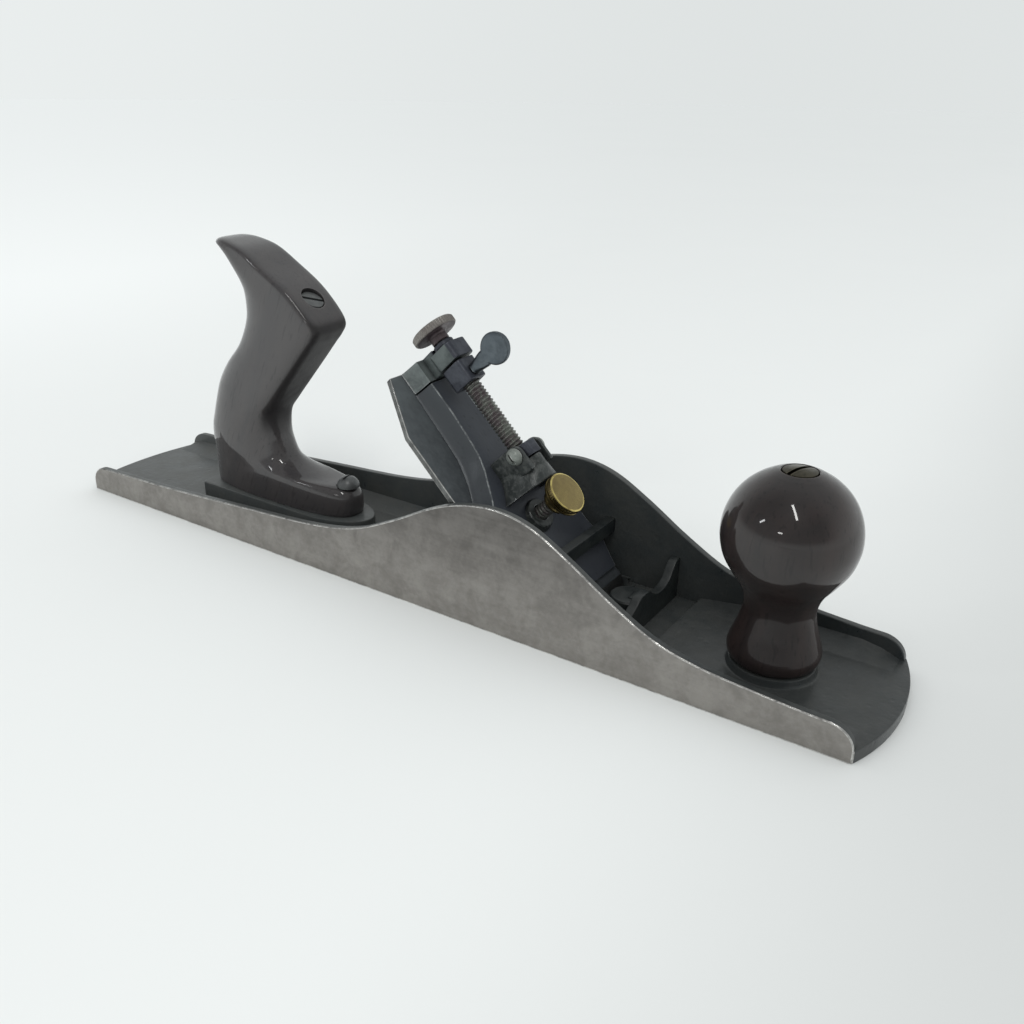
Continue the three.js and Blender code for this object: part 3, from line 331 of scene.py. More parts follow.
def turned(profile: Outline, sides: int, sweep: Sweep = Sweep.UP, at: Point = (0, 0, 0),
           frame: Matrix = LEVEL, ripple: Ripple | None = None) -> Shape:
    """Turns a profile about an axis.

    Args:
        profile: Radius and distance along the axis of each corner. Ends that don't lie on
            the axis are joined to each other.
        sides: Steps of the turn.
        sweep: Direction of the axis.
        at: Point that the axis starts at.
        frame: Frame that it is given in.
        ripple: Change of the radius at an angle and a distance along the axis.

    Returns:
        The shape.
    """
    rows: list[list[int]] = []
    verts: list[Vector] = []
    origin = Vector(at)
    for radius, run in profile:
        if radius < TINY:
            rows.append([len(verts)] * sides)
            verts.append(origin + Vector(sweep.point(0, 0, run)))
            continue
        row = []
        for i in range(sides):
            angle = 2 * math.pi * i / sides
            reach = radius + (ripple(angle, run) if ripple else 0.0)
            row.append(len(verts))
            place = sweep.point(reach * math.cos(angle), reach * math.sin(angle), run)
            verts.append(origin + Vector(place))
        rows.append(row)
    open_profile = profile[0][0] > TINY or profile[-1][0] > TINY
    pairs = list(zip(rows, rows[1:])) + ([(rows[-1], rows[0])] if open_profile else [])
    faces = []
    for row, after in pairs:
        for i in range(sides):
            j = (i + 1) % sides
            face = list(dict.fromkeys((row[i], row[j], after[j], after[i])))
            if len(face) > 2:
                faces.append(face)
    return new_shape(verts, faces, frame)


def pin(radius: float, low: float, high: float, at: Point = (0, 0, 0), sides: int = 32,
        sweep: Sweep = Sweep.UP, frame: Matrix = LEVEL) -> Shape:
    """Makes a plain round pin, mostly to cut a hole with."""
    profile = [(0.0, low), (radius, low), (radius, high), (0.0, high)]
    return turned(profile, sides, sweep, at, frame)


def rod_bore(radius: float, low: float, high: float) -> Shape:
    """Makes a pin on the axis of the adjuster's rod, to bore a hole with."""
    return pin(radius, low, high, (0, 0, ROD_HEIGHT), sweep=Sweep.ALONG, frame=IRON)


def lofted(rings: Sequence[Sequence[Sequence[float]]], frame: Matrix = LEVEL) -> Shape:
    """Skins rings of equal count and closes both ends.

    Args:
        rings: The rings in order.
        frame: Frame that they are given in.

    Returns:
        The shape.
    """
    count = len(rings[0])
    verts = [tuple(p) for ring in rings for p in ring]
    faces: list[Sequence[int]] = [
        list(range(count)),
        list(range(len(verts) - count, len(verts))),
    ]
    for k in range(len(rings) - 1):
        for i in range(count):
            j = (i + 1) % count
            a, b = k * count, (k + 1) * count
            faces.append((a + i, a + j, b + j, b + i))
    return new_shape(verts, faces, frame)


def oval_ring(half_u: float, half_v: float, power: float, sides: int) -> Outline:
    """Ring between an ellipse and a rectangle: power 2 is round, and more is squarer."""
    ring = []
    for i in range(sides):
        angle = 2 * math.pi * i / sides
        c, s = math.cos(angle), math.sin(angle)
        u = math.copysign(abs(c) ** (2 / power), c) * half_u
        v = math.copysign(abs(s) ** (2 / power), s) * half_v
        ring.append((u, v))
    return ring


def from_node(node: Shape, rounding: float) -> Shape:
    """Takes the mesh of a node of the frame as a new shape, with rounded edges.

    Args:
        node: The node's object.
        rounding: Width of the rounded edges.

    Returns:
        The new shape in millimetres.
    """
    mesh = node.data.copy()
    mesh.transform(Matrix.Scale(1 / MILLIMETRE, 4))
    mesh.materials.clear()
    work = bmesh.new()
    work.from_mesh(mesh)
    bmesh.ops.remove_doubles(work, verts=work.verts, dist=1e-3)
    bmesh.ops.dissolve_limit(
        work, angle_limit=math.radians(1.0), verts=work.verts, edges=work.edges
    )
    work.to_mesh(mesh)
    work.free()
    return rounded(placed("shape", mesh), rounding)


# Node trees


class NodeSheet:
    """Shorthand for wiring one node tree."""

    def __init__(self, tree: bpy.types.NodeTree) -> None:
        """Starts on an empty tree."""
        self.tree = tree

    def add(self, kind: str, inputs: dict[str | int, object] | None = None,
            **settings: object) -> bpy.types.Node:
        """Adds a node.

        Args:
            kind: Its type without the ShaderNode at the front.
            inputs: A value or a socket for each named or numbered input.
            settings: Properties of the node.

        Returns:
            The node.
        """
        node = self.tree.nodes.new("ShaderNode" + kind)
        for key, value in settings.items():
            setattr(node, key, value)
        for key, value in (inputs or {}).items():
            self.feed(node.inputs[key], value)
        return node

    def feed(self, socket: Socket, value: object) -> None:
        """Links a socket to another, or sets its value."""
        if isinstance(value, bpy.types.NodeSocket):
            self.tree.links.new(value, socket)
        else:
            socket.default_value = value

    def maths(self, how: str, a: object, b: object = 0.0, clamp: bool = False) -> Socket:
        """Adds a Math node and returns its output."""
        node = self.add("Math", {0: a, 1: b}, operation=how)
        node.use_clamp = clamp
        return node.outputs[0]

    def times(self, a: object, b: object, clamp: bool = False) -> Socket:
        """Multiplies two values."""
        return self.maths("MULTIPLY", a, b, clamp)

    def plus(self, a: object, b: object, clamp: bool = False) -> Socket:
        """Adds two values."""
        return self.maths("ADD", a, b, clamp)

    def less(self, a: object, b: object) -> Socket:
        """Takes the second value from the first."""
        return self.maths("SUBTRACT", a, b)

    def noise(self, vector: Socket, scale: object, detail: float = 4.0, rough: float = 0.55,
              twist: float = 0.0) -> Socket:
        """Adds a Noise Texture and returns its factor."""
        values = {
            "Vector": vector, "Scale": scale, "Detail": detail,
            "Roughness": rough, "Distortion": twist,
        }
        return self.add("TexNoise", values).outputs["Fac"]

    def stretch(self, vector: Socket, by: Sequence[float], turn: Sequence[float] = (0, 0, 0),
                shift: Sequence[float] = (0, 0, 0)) -> Socket:
        """Turns, moves and scales coordinates."""
        values = {"Vector": vector, "Scale": by, "Rotation": turn, "Location": shift}
        return self.add("Mapping", values).outputs[0]

    def ramp(self, value: Socket, low: object, high: object, start: object = 0.0,
             end: object = 1.0) -> Socket:
        """Maps a value smoothly from low..high to start..end."""
        values = {"Value": value, 1: low, 2: high, 3: start, 4: end}
        node = self.add("MapRange", values, interpolation_type="SMOOTHSTEP")
        return node.outputs[0]

    def blend(self, share: object, a: object, b: object, how: str = "MIX") -> Socket:
        """Mixes two colours and returns the result."""
        node = self.add("Mix", data_type="RGBA", blend_type=how)
        for key, value in ((0, share), (6, a), (7, b)):
            if isinstance(value, tuple) and len(value) == 3:
                value = (*value, 1.0)
            self.feed(node.inputs[key], value)
        return node.outputs[2]


def start_group(name: str, inputs: dict[str, float | str], outputs: Sequence[str]
                ) -> tuple[NodeSheet, bpy.types.Node, bpy.types.Node]:
    """Starts a shader node group.

    Args:
        name: Its name.
        inputs: The default of each number, or "vector".
        outputs: Names of its values.

    Returns:
        The sheet of its tree, its input node and its output node.
    """
    tree = bpy.data.node_groups.new(name, "ShaderNodeTree")
    for key, value in inputs.items():
        kind = "NodeSocketVector" if value == "vector" else "NodeSocketFloat"
        socket = tree.interface.new_socket(name=key, in_out="INPUT", socket_type=kind)
        if value != "vector":
            socket.default_value = value
    for key in outputs:
        tree.interface.new_socket(name=key, in_out="OUTPUT", socket_type="NodeSocketFloat")
    return NodeSheet(tree), tree.nodes.new("NodeGroupInput"), tree.nodes.new("NodeGroupOutput")


class Effects:
    """Shader node groups that several finishes share, each built once."""

    def __init__(self) -> None:
        """Builds every group."""
        self.groups = {
            "patches": self.age_patches(),
            "grain": self.casting_grain(),
            "marks": self.grinding_marks(),
            "edges": self.worn_edges(),
            "grime_and_shade": self.corner_grime_and_shade(),
            "dust": self.settled_dust(),
            "figure": self.wood_figure(),
        }

    def place(self, sheet: NodeSheet, key: str, inputs: dict[str, object]) -> bpy.types.Node:
        """Places one group in a material with its own values.

        Args:
            sheet: The material's sheet.
            key: Which group.
            inputs: Its values.

        Returns:
            The group's node.
        """
        node = sheet.tree.nodes.new("ShaderNodeGroup")
        node.node_tree = self.groups[key]
        for name, value in inputs.items():
            sheet.feed(node.inputs[name], value)
        return node

    def age_patches(self) -> bpy.types.NodeTree:
        """Cloudy patches of handling and tarnish, with finer ones inside them."""
        names = {"Vector": "vector", "Scale": 60.0, "Balance": 0.5, "Softness": 0.16}
        sheet, given, result = start_group("age patches", names, ["Mask"])
        vector, scale = given.outputs["Vector"], given.outputs["Scale"]
        wide = sheet.noise(vector, scale, 5.0, 0.6, 0.6)
        fine = sheet.noise(vector, sheet.times(scale, 5.3), 4.0, 0.65, 0.2)
        both = sheet.plus(sheet.times(wide, 0.68), sheet.times(fine, 0.32))
        low = sheet.less(given.outputs["Balance"], given.outputs["Softness"])
        high = sheet.plus(given.outputs["Balance"], given.outputs["Softness"])
        sheet.feed(result.inputs["Mask"], sheet.ramp(both, low, high))
        return sheet.tree

    def casting_grain(self) -> bpy.types.NodeTree:
        """Rough skin of a sand casting, with a few pits."""
        names = {"Vector": "vector", "Scale": 900.0}
        sheet, given, result = start_group("casting grain", names, ["Height", "Pits"])
        vector, scale = given.outputs["Vector"], given.outputs["Scale"]
        skin = sheet.noise(vector, scale, 3.0, 0.6)
        lumps = sheet.noise(vector, sheet.times(scale, 0.22), 2.0, 0.5)
        cells = sheet.add("TexVoronoi", {"Vector": vector, "Scale": sheet.times(scale, 0.3)})
        pits = sheet.ramp(cells.outputs["Distance"], 0.05, 0.24, 1.0, 0.0)
        height = sheet.plus(sheet.times(skin, 0.45), sheet.times(lumps, 0.9))
        sheet.feed(result.inputs["Height"], sheet.less(height, sheet.times(pits, 0.3)))
        sheet.feed(result.inputs["Pits"], pits)
        return sheet.tree

    def grinding_marks(self) -> bpy.types.NodeTree:
        """Fine lines that grinding, honing and years of use leave along a surface."""
        names = {"Vector": "vector", "Scale": 500.0}
        sheet, given, result = start_group("grinding marks", names, ["Height", "Lines"])
        vector, scale = given.outputs["Vector"], given.outputs["Scale"]
        along = sheet.stretch(vector, (0.03, 1.0, 1.0))
        askew = sheet.stretch(vector, (0.05, 1.0, 1.0), (0.05, 0.35, 0.1))
        first = sheet.noise(along, scale, 3.0, 0.7)
        second = sheet.noise(askew, sheet.times(scale, 0.7), 3.0, 0.75)
        height = sheet.plus(sheet.times(first, 0.6), sheet.times(second, 0.4))
        sheet.feed(result.inputs["Height"], height)
        sheet.feed(result.inputs["Lines"], sheet.ramp(height, 0.35, 0.68))
        return sheet.tree

    def worn_edges(self) -> bpy.types.NodeTree:
        """Outer edges that have lost their colour, broken up along their length."""
        names = {"Vector": "vector", "Reach": 0.0006, "Start": 0.2, "Breaks": 0.3}
        sheet, given, result = start_group("worn edges", names, ["Mask"])
        inside = sheet.add("AmbientOcclusion", {"Distance": given.outputs["Reach"]},
                           inside=True, only_local=True, samples=4)
        thin = sheet.less(1.0, inside.outputs["AO"])
        uneven = sheet.noise(given.outputs["Vector"], 700.0, 3.0, 0.6)
        torn = sheet.times(sheet.less(uneven, 0.5), given.outputs["Breaks"])
        level = sheet.plus(thin, torn)
        high = sheet.plus(given.outputs["Start"], 0.18)
        sheet.feed(result.inputs["Mask"], sheet.ramp(level, given.outputs["Start"], high))
        return sheet.tree

    def corner_grime_and_shade(self) -> bpy.types.NodeTree:
        """Dark dirt and painted shade in corners and round fittings."""
        names = {"Vector": "vector", "Reach": 0.003, "Amount": 0.8}
        sheet, given, result = start_group("corner grime and shade", names, ["Mask"])
        outside = sheet.add("AmbientOcclusion", {"Distance": given.outputs["Reach"]}, samples=4)
        shut = sheet.less(1.0, outside.outputs["AO"])
        uneven = sheet.noise(given.outputs["Vector"], 260.0, 4.0, 0.6)
        spread = sheet.ramp(sheet.times(shut, sheet.plus(uneven, 0.6)), 0.12, 0.75)
        sheet.feed(result.inputs["Mask"], sheet.times(spread, given.outputs["Amount"], True))
        return sheet.tree

    def settled_dust(self) -> bpy.types.NodeTree:
        """Thin pale film of workshop dust on what faces up."""
        names = {"Vector": "vector", "Scale": 90.0, "Amount": 0.3}
        sheet, given, result = start_group("settled dust", names, ["Mask"])
        normal = sheet.add("NewGeometry").outputs["Normal"]
        up = sheet.add("SeparateXYZ", {0: normal}).outputs[2]
        film = sheet.noise(given.outputs["Vector"], given.outputs["Scale"], 6.0, 0.7, 0.4)
        share = sheet.times(sheet.ramp(up, 0.3, 1.0), sheet.ramp(film, 0.25, 0.8))
        sheet.feed(result.inputs["Mask"], sheet.times(share, given.outputs["Amount"], True))
        return sheet.tree

    def wood_figure(self) -> bpy.types.NodeTree:
        """Long streaks and open pores of a dark hardwood under lacquer."""
        names = {"Vector": "vector", "Scale": 70.0, "Stretch": 0.12}
        sheet, given, result = start_group("wood figure", names, ["Streaks", "Pores"])
        vector, scale = given.outputs["Vector"], given.outputs["Scale"]
        parts = sheet.add("SeparateXYZ", {0: vector})
        long = sheet.add("CombineXYZ", {
            0: parts.outputs[0], 1: parts.outputs[1],
            2: sheet.times(parts.outputs[2], given.outputs["Stretch"])})
        streaks = sheet.noise(long.outputs[0], scale, 6.0, 0.6, 0.9)
        pores = sheet.noise(long.outputs[0], sheet.times(scale, 14.0), 2.0, 0.5)
        sheet.feed(result.inputs["Streaks"], sheet.ramp(streaks, 0.34, 0.68))
        sheet.feed(result.inputs["Pores"], sheet.ramp(pores, 0.58, 0.7))
        return sheet.tree


# Finishes


def start_material(name: str) -> tuple[Material, NodeSheet, bpy.types.Node, Socket]:
    """Starts a material with a Principled BSDF.

    Args:
        name: Its name.

    Returns:
        The material, its sheet, the shader and the piece's own coordinates.
    """
    material = bpy.data.materials.new(name)
    material.use_nodes = True
    sheet = NodeSheet(material.node_tree)
    sheet.tree.nodes.clear()
    out = sheet.add("OutputMaterial")
    shader = sheet.add("BsdfPrincipled")
    sheet.tree.links.new(shader.outputs[0], out.inputs[0])
    vector = sheet.add("TexCoord").outputs["Object"]
    return material, sheet, shader, vector


@dataclass(frozen=True)
class MetalFinish:
    """Bare, blued or coated metal with its age."""

    name: str
    base: Colour
    patch: Colour
    edge: Colour = (0.5, 0.5, 0.48)
    dust: Colour = (0.3, 0.31, 0.3)
    metal: float = 1.0
    patch_metal: float = 1.0
    smooth: float = 0.3
    rough: float = 0.5
    patch_scale: float = 60.0
    patch_balance: float = 0.5
    patch_softness: float = 0.16
    grain_scale: float = 1500.0
    grain_depth: float = 0.00003
    marks_depth: float = 0.0
    marks_scale: float = 500.0
    edge_reach: float = 0.0006
    edge_start: float = 0.25
    edge_breaks: float = 0.4
    # Strength of the dirt and painted shade in corners.
    grime_and_shade: float = 0.6
    dust_amount: float = 0.0
    speckle: float = 0.12
    # Tint multiplied into the colour along one axis, between a low and a high place.
    graded_tint: Colour | None = None
    graded_axis: int = 2
    graded_low: float = 0.004
    graded_high: float = 0.048

    def material(self, effects: Effects) -> Material:
        """Builds the finish.

        Args:
            effects: The shared node groups.

        Returns:
            The material.
        """
        material, sheet, shader, vector = start_material(self.name)
        patches = effects.place(sheet, "patches", {
            "Vector": vector, "Scale": self.patch_scale,
            "Balance": self.patch_balance, "Softness": self.patch_softness}).outputs[0]
        grain = effects.place(sheet, "grain", {"Vector": vector, "Scale": self.grain_scale})
        marks = effects.place(sheet, "marks", {"Vector": vector, "Scale": self.marks_scale})
        edges = effects.place(sheet, "edges", {
            "Vector": vector, "Reach": self.edge_reach, "Start": self.edge_start,
            "Breaks": self.edge_breaks}).outputs[0]
        grime_and_shade = effects.place(sheet, "grime_and_shade", {"Vector": vector, "Amount": self.grime_and_shade})
        dust = effects.place(sheet, "dust", {"Vector": vector, "Amount": self.dust_amount})
        colour = sheet.blend(patches, self.base, self.patch)
        lines = sheet.times(marks.outputs["Lines"], self.speckle if self.marks_depth else 0.0)
        specks = sheet.times(grain.outputs["Pits"], self.speckle)
        light = tuple(min(1.0, c * 1.6 + 0.02) for c in self.base)
        dark = tuple(c * 0.45 for c in self.patch)
        # Darker along one axis: the colour is multiplied towards a tint between two places.
        if self.graded_tint:
            high = sheet.add("SeparateXYZ", {0: vector}).outputs[self.graded_axis]
            graded = sheet.ramp(high, self.graded_low, self.graded_high)
            colour = sheet.blend(graded, colour, self.graded_tint, "MULTIPLY")
        colour = sheet.blend(lines, colour, light)
        colour = sheet.blend(specks, colour, dark)
        colour = sheet.blend(dust.outputs[0], colour, self.dust)
        # Dirt and painted shade: corners darken towards a dark share of the patch colour.
        colour = sheet.blend(grime_and_shade.outputs[0], colour, tuple(c * 0.3 for c in self.patch))
        colour = sheet.blend(edges, colour, self.edge)
        sheet.feed(shader.inputs["Base Color"], colour)
        rough = sheet.ramp(patches, 0.0, 1.0, self.smooth, self.rough)
        worn = sheet.times(edges, 0.12)
        dull = sheet.times(dust.outputs[0], 0.3)
        sheet.feed(shader.inputs["Roughness"], sheet.plus(sheet.less(rough, worn), dull, True))
        if self.metal == self.patch_metal == 1.0 and not self.dust_amount:
            shader.inputs["Metallic"].default_value = self.metal
        else:
            body = sheet.ramp(patches, 0.0, 1.0, self.metal, self.patch_metal)
            bare = sheet.maths("MAXIMUM", body, edges)
            clear = sheet.less(1.0, dust.outputs[0])
            sheet.feed(shader.inputs["Metallic"], sheet.times(bare, clear))
        height = sheet.plus(sheet.times(grain.outputs["Height"], self.grain_depth),
                            sheet.times(marks.outputs["Height"], self.marks_depth))
        bump = sheet.add("Bump", {"Height": height, "Distance": 1.0, "Strength": 1.0})
        sheet.feed(shader.inputs["Normal"], bump.outputs[0])
        return material


@dataclass(frozen=True)
class LacquerFinish:
    """Dark hardwood under a thick gloss."""

    name: str
    base: Colour
    streak: Colour
    edge: Colour
    lean: float = 0.0
    scale: float = 70.0
    stretch: float = 0.12
    rough: float = 0.35
    coat: float = 1.0
    coat_rough: float = 0.05
    depth: float = 0.00002
    wear: float = 0.4
    sheen: float = 0.5
    # Strength of the painted shade on forward faces.
    front_shade: float = 0.0
    front_shade_low: float = 0.034
    dull_foot: float = 0.0
    dull_high: float = 0.034

    def material(self, effects: Effects) -> Material:
        """Builds the finish.

        Args:
            effects: The shared node groups.

        Returns:
            The material.
        """
        material, sheet, shader, vector = start_material(self.name)
        turned_wood = sheet.stretch(vector, (1, 1, 1), (0, -self.lean, 0))
        figure = effects.place(sheet, "figure", {
            "Vector": turned_wood, "Scale": self.scale, "Stretch": self.stretch})
        patches = effects.place(sheet, "patches", {
            "Vector": vector, "Scale": 45.0, "Balance": 0.56, "Softness": 0.2}).outputs[0]
        edges = effects.place(sheet, "edges", {
            "Vector": vector, "Reach": 0.0012, "Start": 0.3, "Breaks": 0.5}).outputs[0]
        grime_and_shade = effects.place(sheet, "grime_and_shade", {"Vector": vector, "Amount": 0.7})
        colour = sheet.blend(figure.outputs["Streaks"], self.base, self.streak)
        pores = sheet.times(figure.outputs["Pores"], 0.5)
        colour = sheet.blend(pores, colour, tuple(c * 0.4 for c in self.base))
        colour = sheet.blend(sheet.times(edges, self.wear), colour, self.edge)
        # Dirt and painted shade: corners darken towards a dark share of the base colour.
        colour = sheet.blend(grime_and_shade.outputs[0], colour, tuple(c * 0.3 for c in self.base))
        high = sheet.add("SeparateXYZ", {0: vector}).outputs[2]
        # Painted shade on the forward faces of the tote: darker colour there, and less coat.
        if self.front_shade:
            face = sheet.add("SeparateXYZ", {0: sheet.add("NewGeometry").outputs["Normal"]})
            front_shade_mask = sheet.times(sheet.ramp(face.outputs[0], 0.3, 0.7),
                               sheet.ramp(high, self.front_shade_low, self.front_shade_low + 0.014))
            front_shade_mask = sheet.times(front_shade_mask, sheet.ramp(face.outputs[2], 0.8, 0.4))
            front_shade_mask = sheet.times(front_shade_mask, self.front_shade)
            colour = sheet.blend(front_shade_mask, colour, tuple(c * 0.5 for c in self.base))
            sheet.feed(shader.inputs["Coat Weight"], sheet.ramp(front_shade_mask, 0.0, 1.0, self.coat, 0.0))
        else:
            sheet.feed(shader.inputs["Coat Weight"], sheet.ramp(
                high, self.dull_high - 0.01, self.dull_high + 0.006,
                self.coat * (1 - self.dull_foot), self.coat))
        sheet.feed(shader.inputs["Base Color"], colour)
        sheet.feed(shader.inputs["Roughness"],
                   sheet.ramp(patches, 0.0, 1.0, self.rough, self.rough + 0.15))
        shader.inputs["Specular IOR Level"].default_value = self.sheen
        shader.inputs["Coat Roughness"].default_value = self.coat_rough
        waves = sheet.noise(vector, 60.0, 2.0, 0.5)
        height = sheet.plus(sheet.times(waves, self.depth * 6),
                            sheet.times(figure.outputs["Pores"], -self.depth))
        bump = sheet.add("Bump", {"Height": height, "Distance": 1.0, "Strength": 0.6})
        sheet.feed(shader.inputs["Normal"], bump.outputs[0])
        return material


def left_light(sheet: NodeSheet, vector: Socket) -> Socket:
    """Share of light that grows towards the left, by direction alone."""
    flat = sheet.add("VectorMath", {0: vector, 1: (1.0, 1.0, 0.0)}, operation="MULTIPLY")
    level = sheet.add("VectorMath", {0: flat.outputs[0]}, operation="NORMALIZE")
    left = sheet.add("VectorMath", {0: level.outputs[0], 1: (-0.83, -0.56, 0.0)},
                     operation="DOT_PRODUCT")
    return sheet.ramp(left.outputs["Value"], -0.3, 0.6)


@dataclass(frozen=True)
class GroundFinish:
    """Pale paper that the plane stands on, with painted shade towards the toe side and painted
    light to the far left.
    """

    name: str = "pale paper"
    base: Colour = (0.762, 0.783, 0.768)
    shade: Colour = (0.752, 0.773, 0.759)
    far_left_light: Colour = (0.86, 0.883, 0.868)
    toe_side_shade: Colour = (0.585, 0.601, 0.59)

    def material(self, effects: Effects) -> Material:
        """Builds the finish from the shared groups."""
        material, sheet, shader, vector = start_material(self.name)
        patches = effects.place(sheet, "patches", {
            "Vector": vector, "Scale": 3.0, "Balance": 0.5, "Softness": 0.3}).outputs[0]
        colour = sheet.blend(patches, self.base, self.shade)
        along = sheet.add("SeparateXYZ", {0: vector}).outputs[0]
        # Painted shade: the paper greys towards the toe side, fading again far beyond it.
        near = sheet.times(sheet.ramp(along, 0.08, 0.26), sheet.ramp(along, 1.4, 0.5))
        colour = sheet.blend(near, colour, self.toe_side_shade)
        # Painted light: the paper brightens towards the far left.
        away = sheet.add("VectorMath", {0: vector, 1: (-0.98, 0.2, 0.0)}, operation="DOT_PRODUCT")
        far = sheet.ramp(away.outputs["Value"], 0.2, 0.7)
        far = sheet.times(far, left_light(sheet, vector))
        colour = sheet.blend(far, colour, self.far_left_light)
        sheet.feed(shader.inputs["Base Color"], colour)
        shader.inputs["Roughness"].default_value = 1.0
        shader.inputs["Specular IOR Level"].default_value = 0.0
        return material


class Look(Enum):
    """Finishes of the plane's pieces."""

    GROUND = MetalFinish(
        "ground side", base=(0.354, 0.336, 0.315), patch=(0.262, 0.248, 0.232),
        edge=(0.5, 0.49, 0.46), smooth=0.44, rough=0.56, patch_scale=95.0, patch_softness=0.2,
        marks_depth=0.000003, grain_depth=0.000018, edge_reach=0.0005, edge_start=0.42,
        grime_and_shade=0.2, speckle=0.07, graded_tint=(0.52, 0.52, 0.525))
    JAPANNED = MetalFinish(
        "japanned casting", base=(0.045, 0.053, 0.055), patch=(0.074, 0.077, 0.072),
        edge=(0.12, 0.125, 0.12), metal=0.0, patch_metal=0.0, smooth=0.26, rough=0.44,
        patch_scale=80.0, patch_softness=0.3, grain_scale=620.0, grain_depth=0.00022,
        edge_reach=0.0008, edge_start=0.36, edge_breaks=0.7, dust_amount=0.22,
        dust=(0.11, 0.11, 0.1), grime_and_shade=0.08, speckle=0.1, graded_tint=(0.4, 0.42, 0.43),
        graded_axis=0, graded_low=-0.02, graded_high=0.15)
    # Darker copy of the japanned casting: painted shade on the rib, its boss and the cross bar.
    RIB_SHADE = MetalFinish(
        "japanned rib in painted shade", base=(0.008, 0.011, 0.012), patch=(0.02, 0.024, 0.023),
        edge=(0.07, 0.075, 0.07), metal=0.0, patch_metal=0.0, rough=0.46, patch_scale=110.0,
        patch_softness=0.12, grain_scale=700.0, grain_depth=0.00014, edge_reach=0.0008,
        edge_start=0.36, edge_breaks=0.7, dust_amount=0.2, dust=(0.08, 0.08, 0.075),
        speckle=0.25)
    ARRIS = MetalFinish(
        "worn arris", base=(0.8, 0.79, 0.76), patch=(0.2, 0.195, 0.19), smooth=0.26,
        patch_scale=260.0, patch_balance=0.52, grime_and_shade=0.0)
    BLUED = MetalFinish(
        "blued iron", base=(0.165, 0.186, 0.192), patch=(0.11, 0.123, 0.128),
        edge=(0.34, 0.36, 0.36), metal=0.45, patch_metal=0.55, smooth=0.34, rough=0.46,
        patch_scale=26.0, patch_softness=0.25, marks_depth=0.000004, grain_depth=0.000012,
        edge_start=0.4, dust_amount=0.12, dust=(0.16, 0.18, 0.18), grime_and_shade=0.4,
        graded_tint=(0.46, 0.46, 0.48), graded_low=0.08, graded_high=0.05)
    IRON_EDGE = MetalFinish(
        "iron edge", base=(0.2, 0.205, 0.2), patch=(0.12, 0.122, 0.12), patch_scale=260.0,
        edge_reach=0.0005, edge_start=0.45, edge_breaks=0.6, grime_and_shade=0.2)
    CAP = MetalFinish(
        "coated cap", base=(0.05, 0.057, 0.063), patch=(0.068, 0.075, 0.081),
        edge=(0.36, 0.38, 0.38), metal=0.3, patch_metal=0.45, smooth=0.34, rough=0.48,
        patch_scale=38.0, grain_scale=1100.0, grain_depth=0.00006, edge_start=0.9,
        edge_breaks=0.6, dust_amount=0.16, dust=(0.14, 0.15, 0.15), grime_and_shade=0.3, speckle=0.35)
    CAP_TOP = MetalFinish(
        "dark cap face", base=(0.036, 0.042, 0.053), patch=(0.052, 0.058, 0.068),
        edge=(0.3, 0.32, 0.32), metal=0.25, patch_metal=0.35, smooth=0.36, rough=0.52,
        patch_scale=55.0, patch_softness=0.2, grain_scale=900.0, grain_depth=0.0001,
        edge_start=0.4, edge_breaks=0.7, dust_amount=0.1, dust=(0.1, 0.11, 0.11), grime_and_shade=0.5,
        speckle=0.4)
    CAP_LINE = MetalFinish(
        "cap arris", base=(0.34, 0.36, 0.36), patch=(0.09, 0.1, 0.105), metal=0.5,
        patch_metal=0.4, rough=0.45, patch_scale=210.0, patch_balance=0.48, patch_softness=0.1,
        edge_start=0.9, grime_and_shade=0.2)
    HOOD = MetalFinish(
        "rough hood", base=(0.03, 0.035, 0.034), patch=(0.08, 0.087, 0.083),
        edge=(0.3, 0.31, 0.31), metal=0.25, patch_metal=0.35, patch_scale=480.0,
        patch_balance=0.53, patch_softness=0.07, grain_scale=620.0, grain_depth=0.0003,
        edge_start=0.34, edge_breaks=0.8, dust_amount=0.1, dust=(0.12, 0.12, 0.12), speckle=0.5)
    BRACKET = MetalFinish(
        "dull steel", base=(0.125, 0.145, 0.142), patch=(0.07, 0.083, 0.083),
        edge=(0.24, 0.25, 0.25), metal=0.6, patch_metal=0.7, smooth=0.34, patch_scale=120.0,
        edge_start=0.36, dust_amount=0.12)
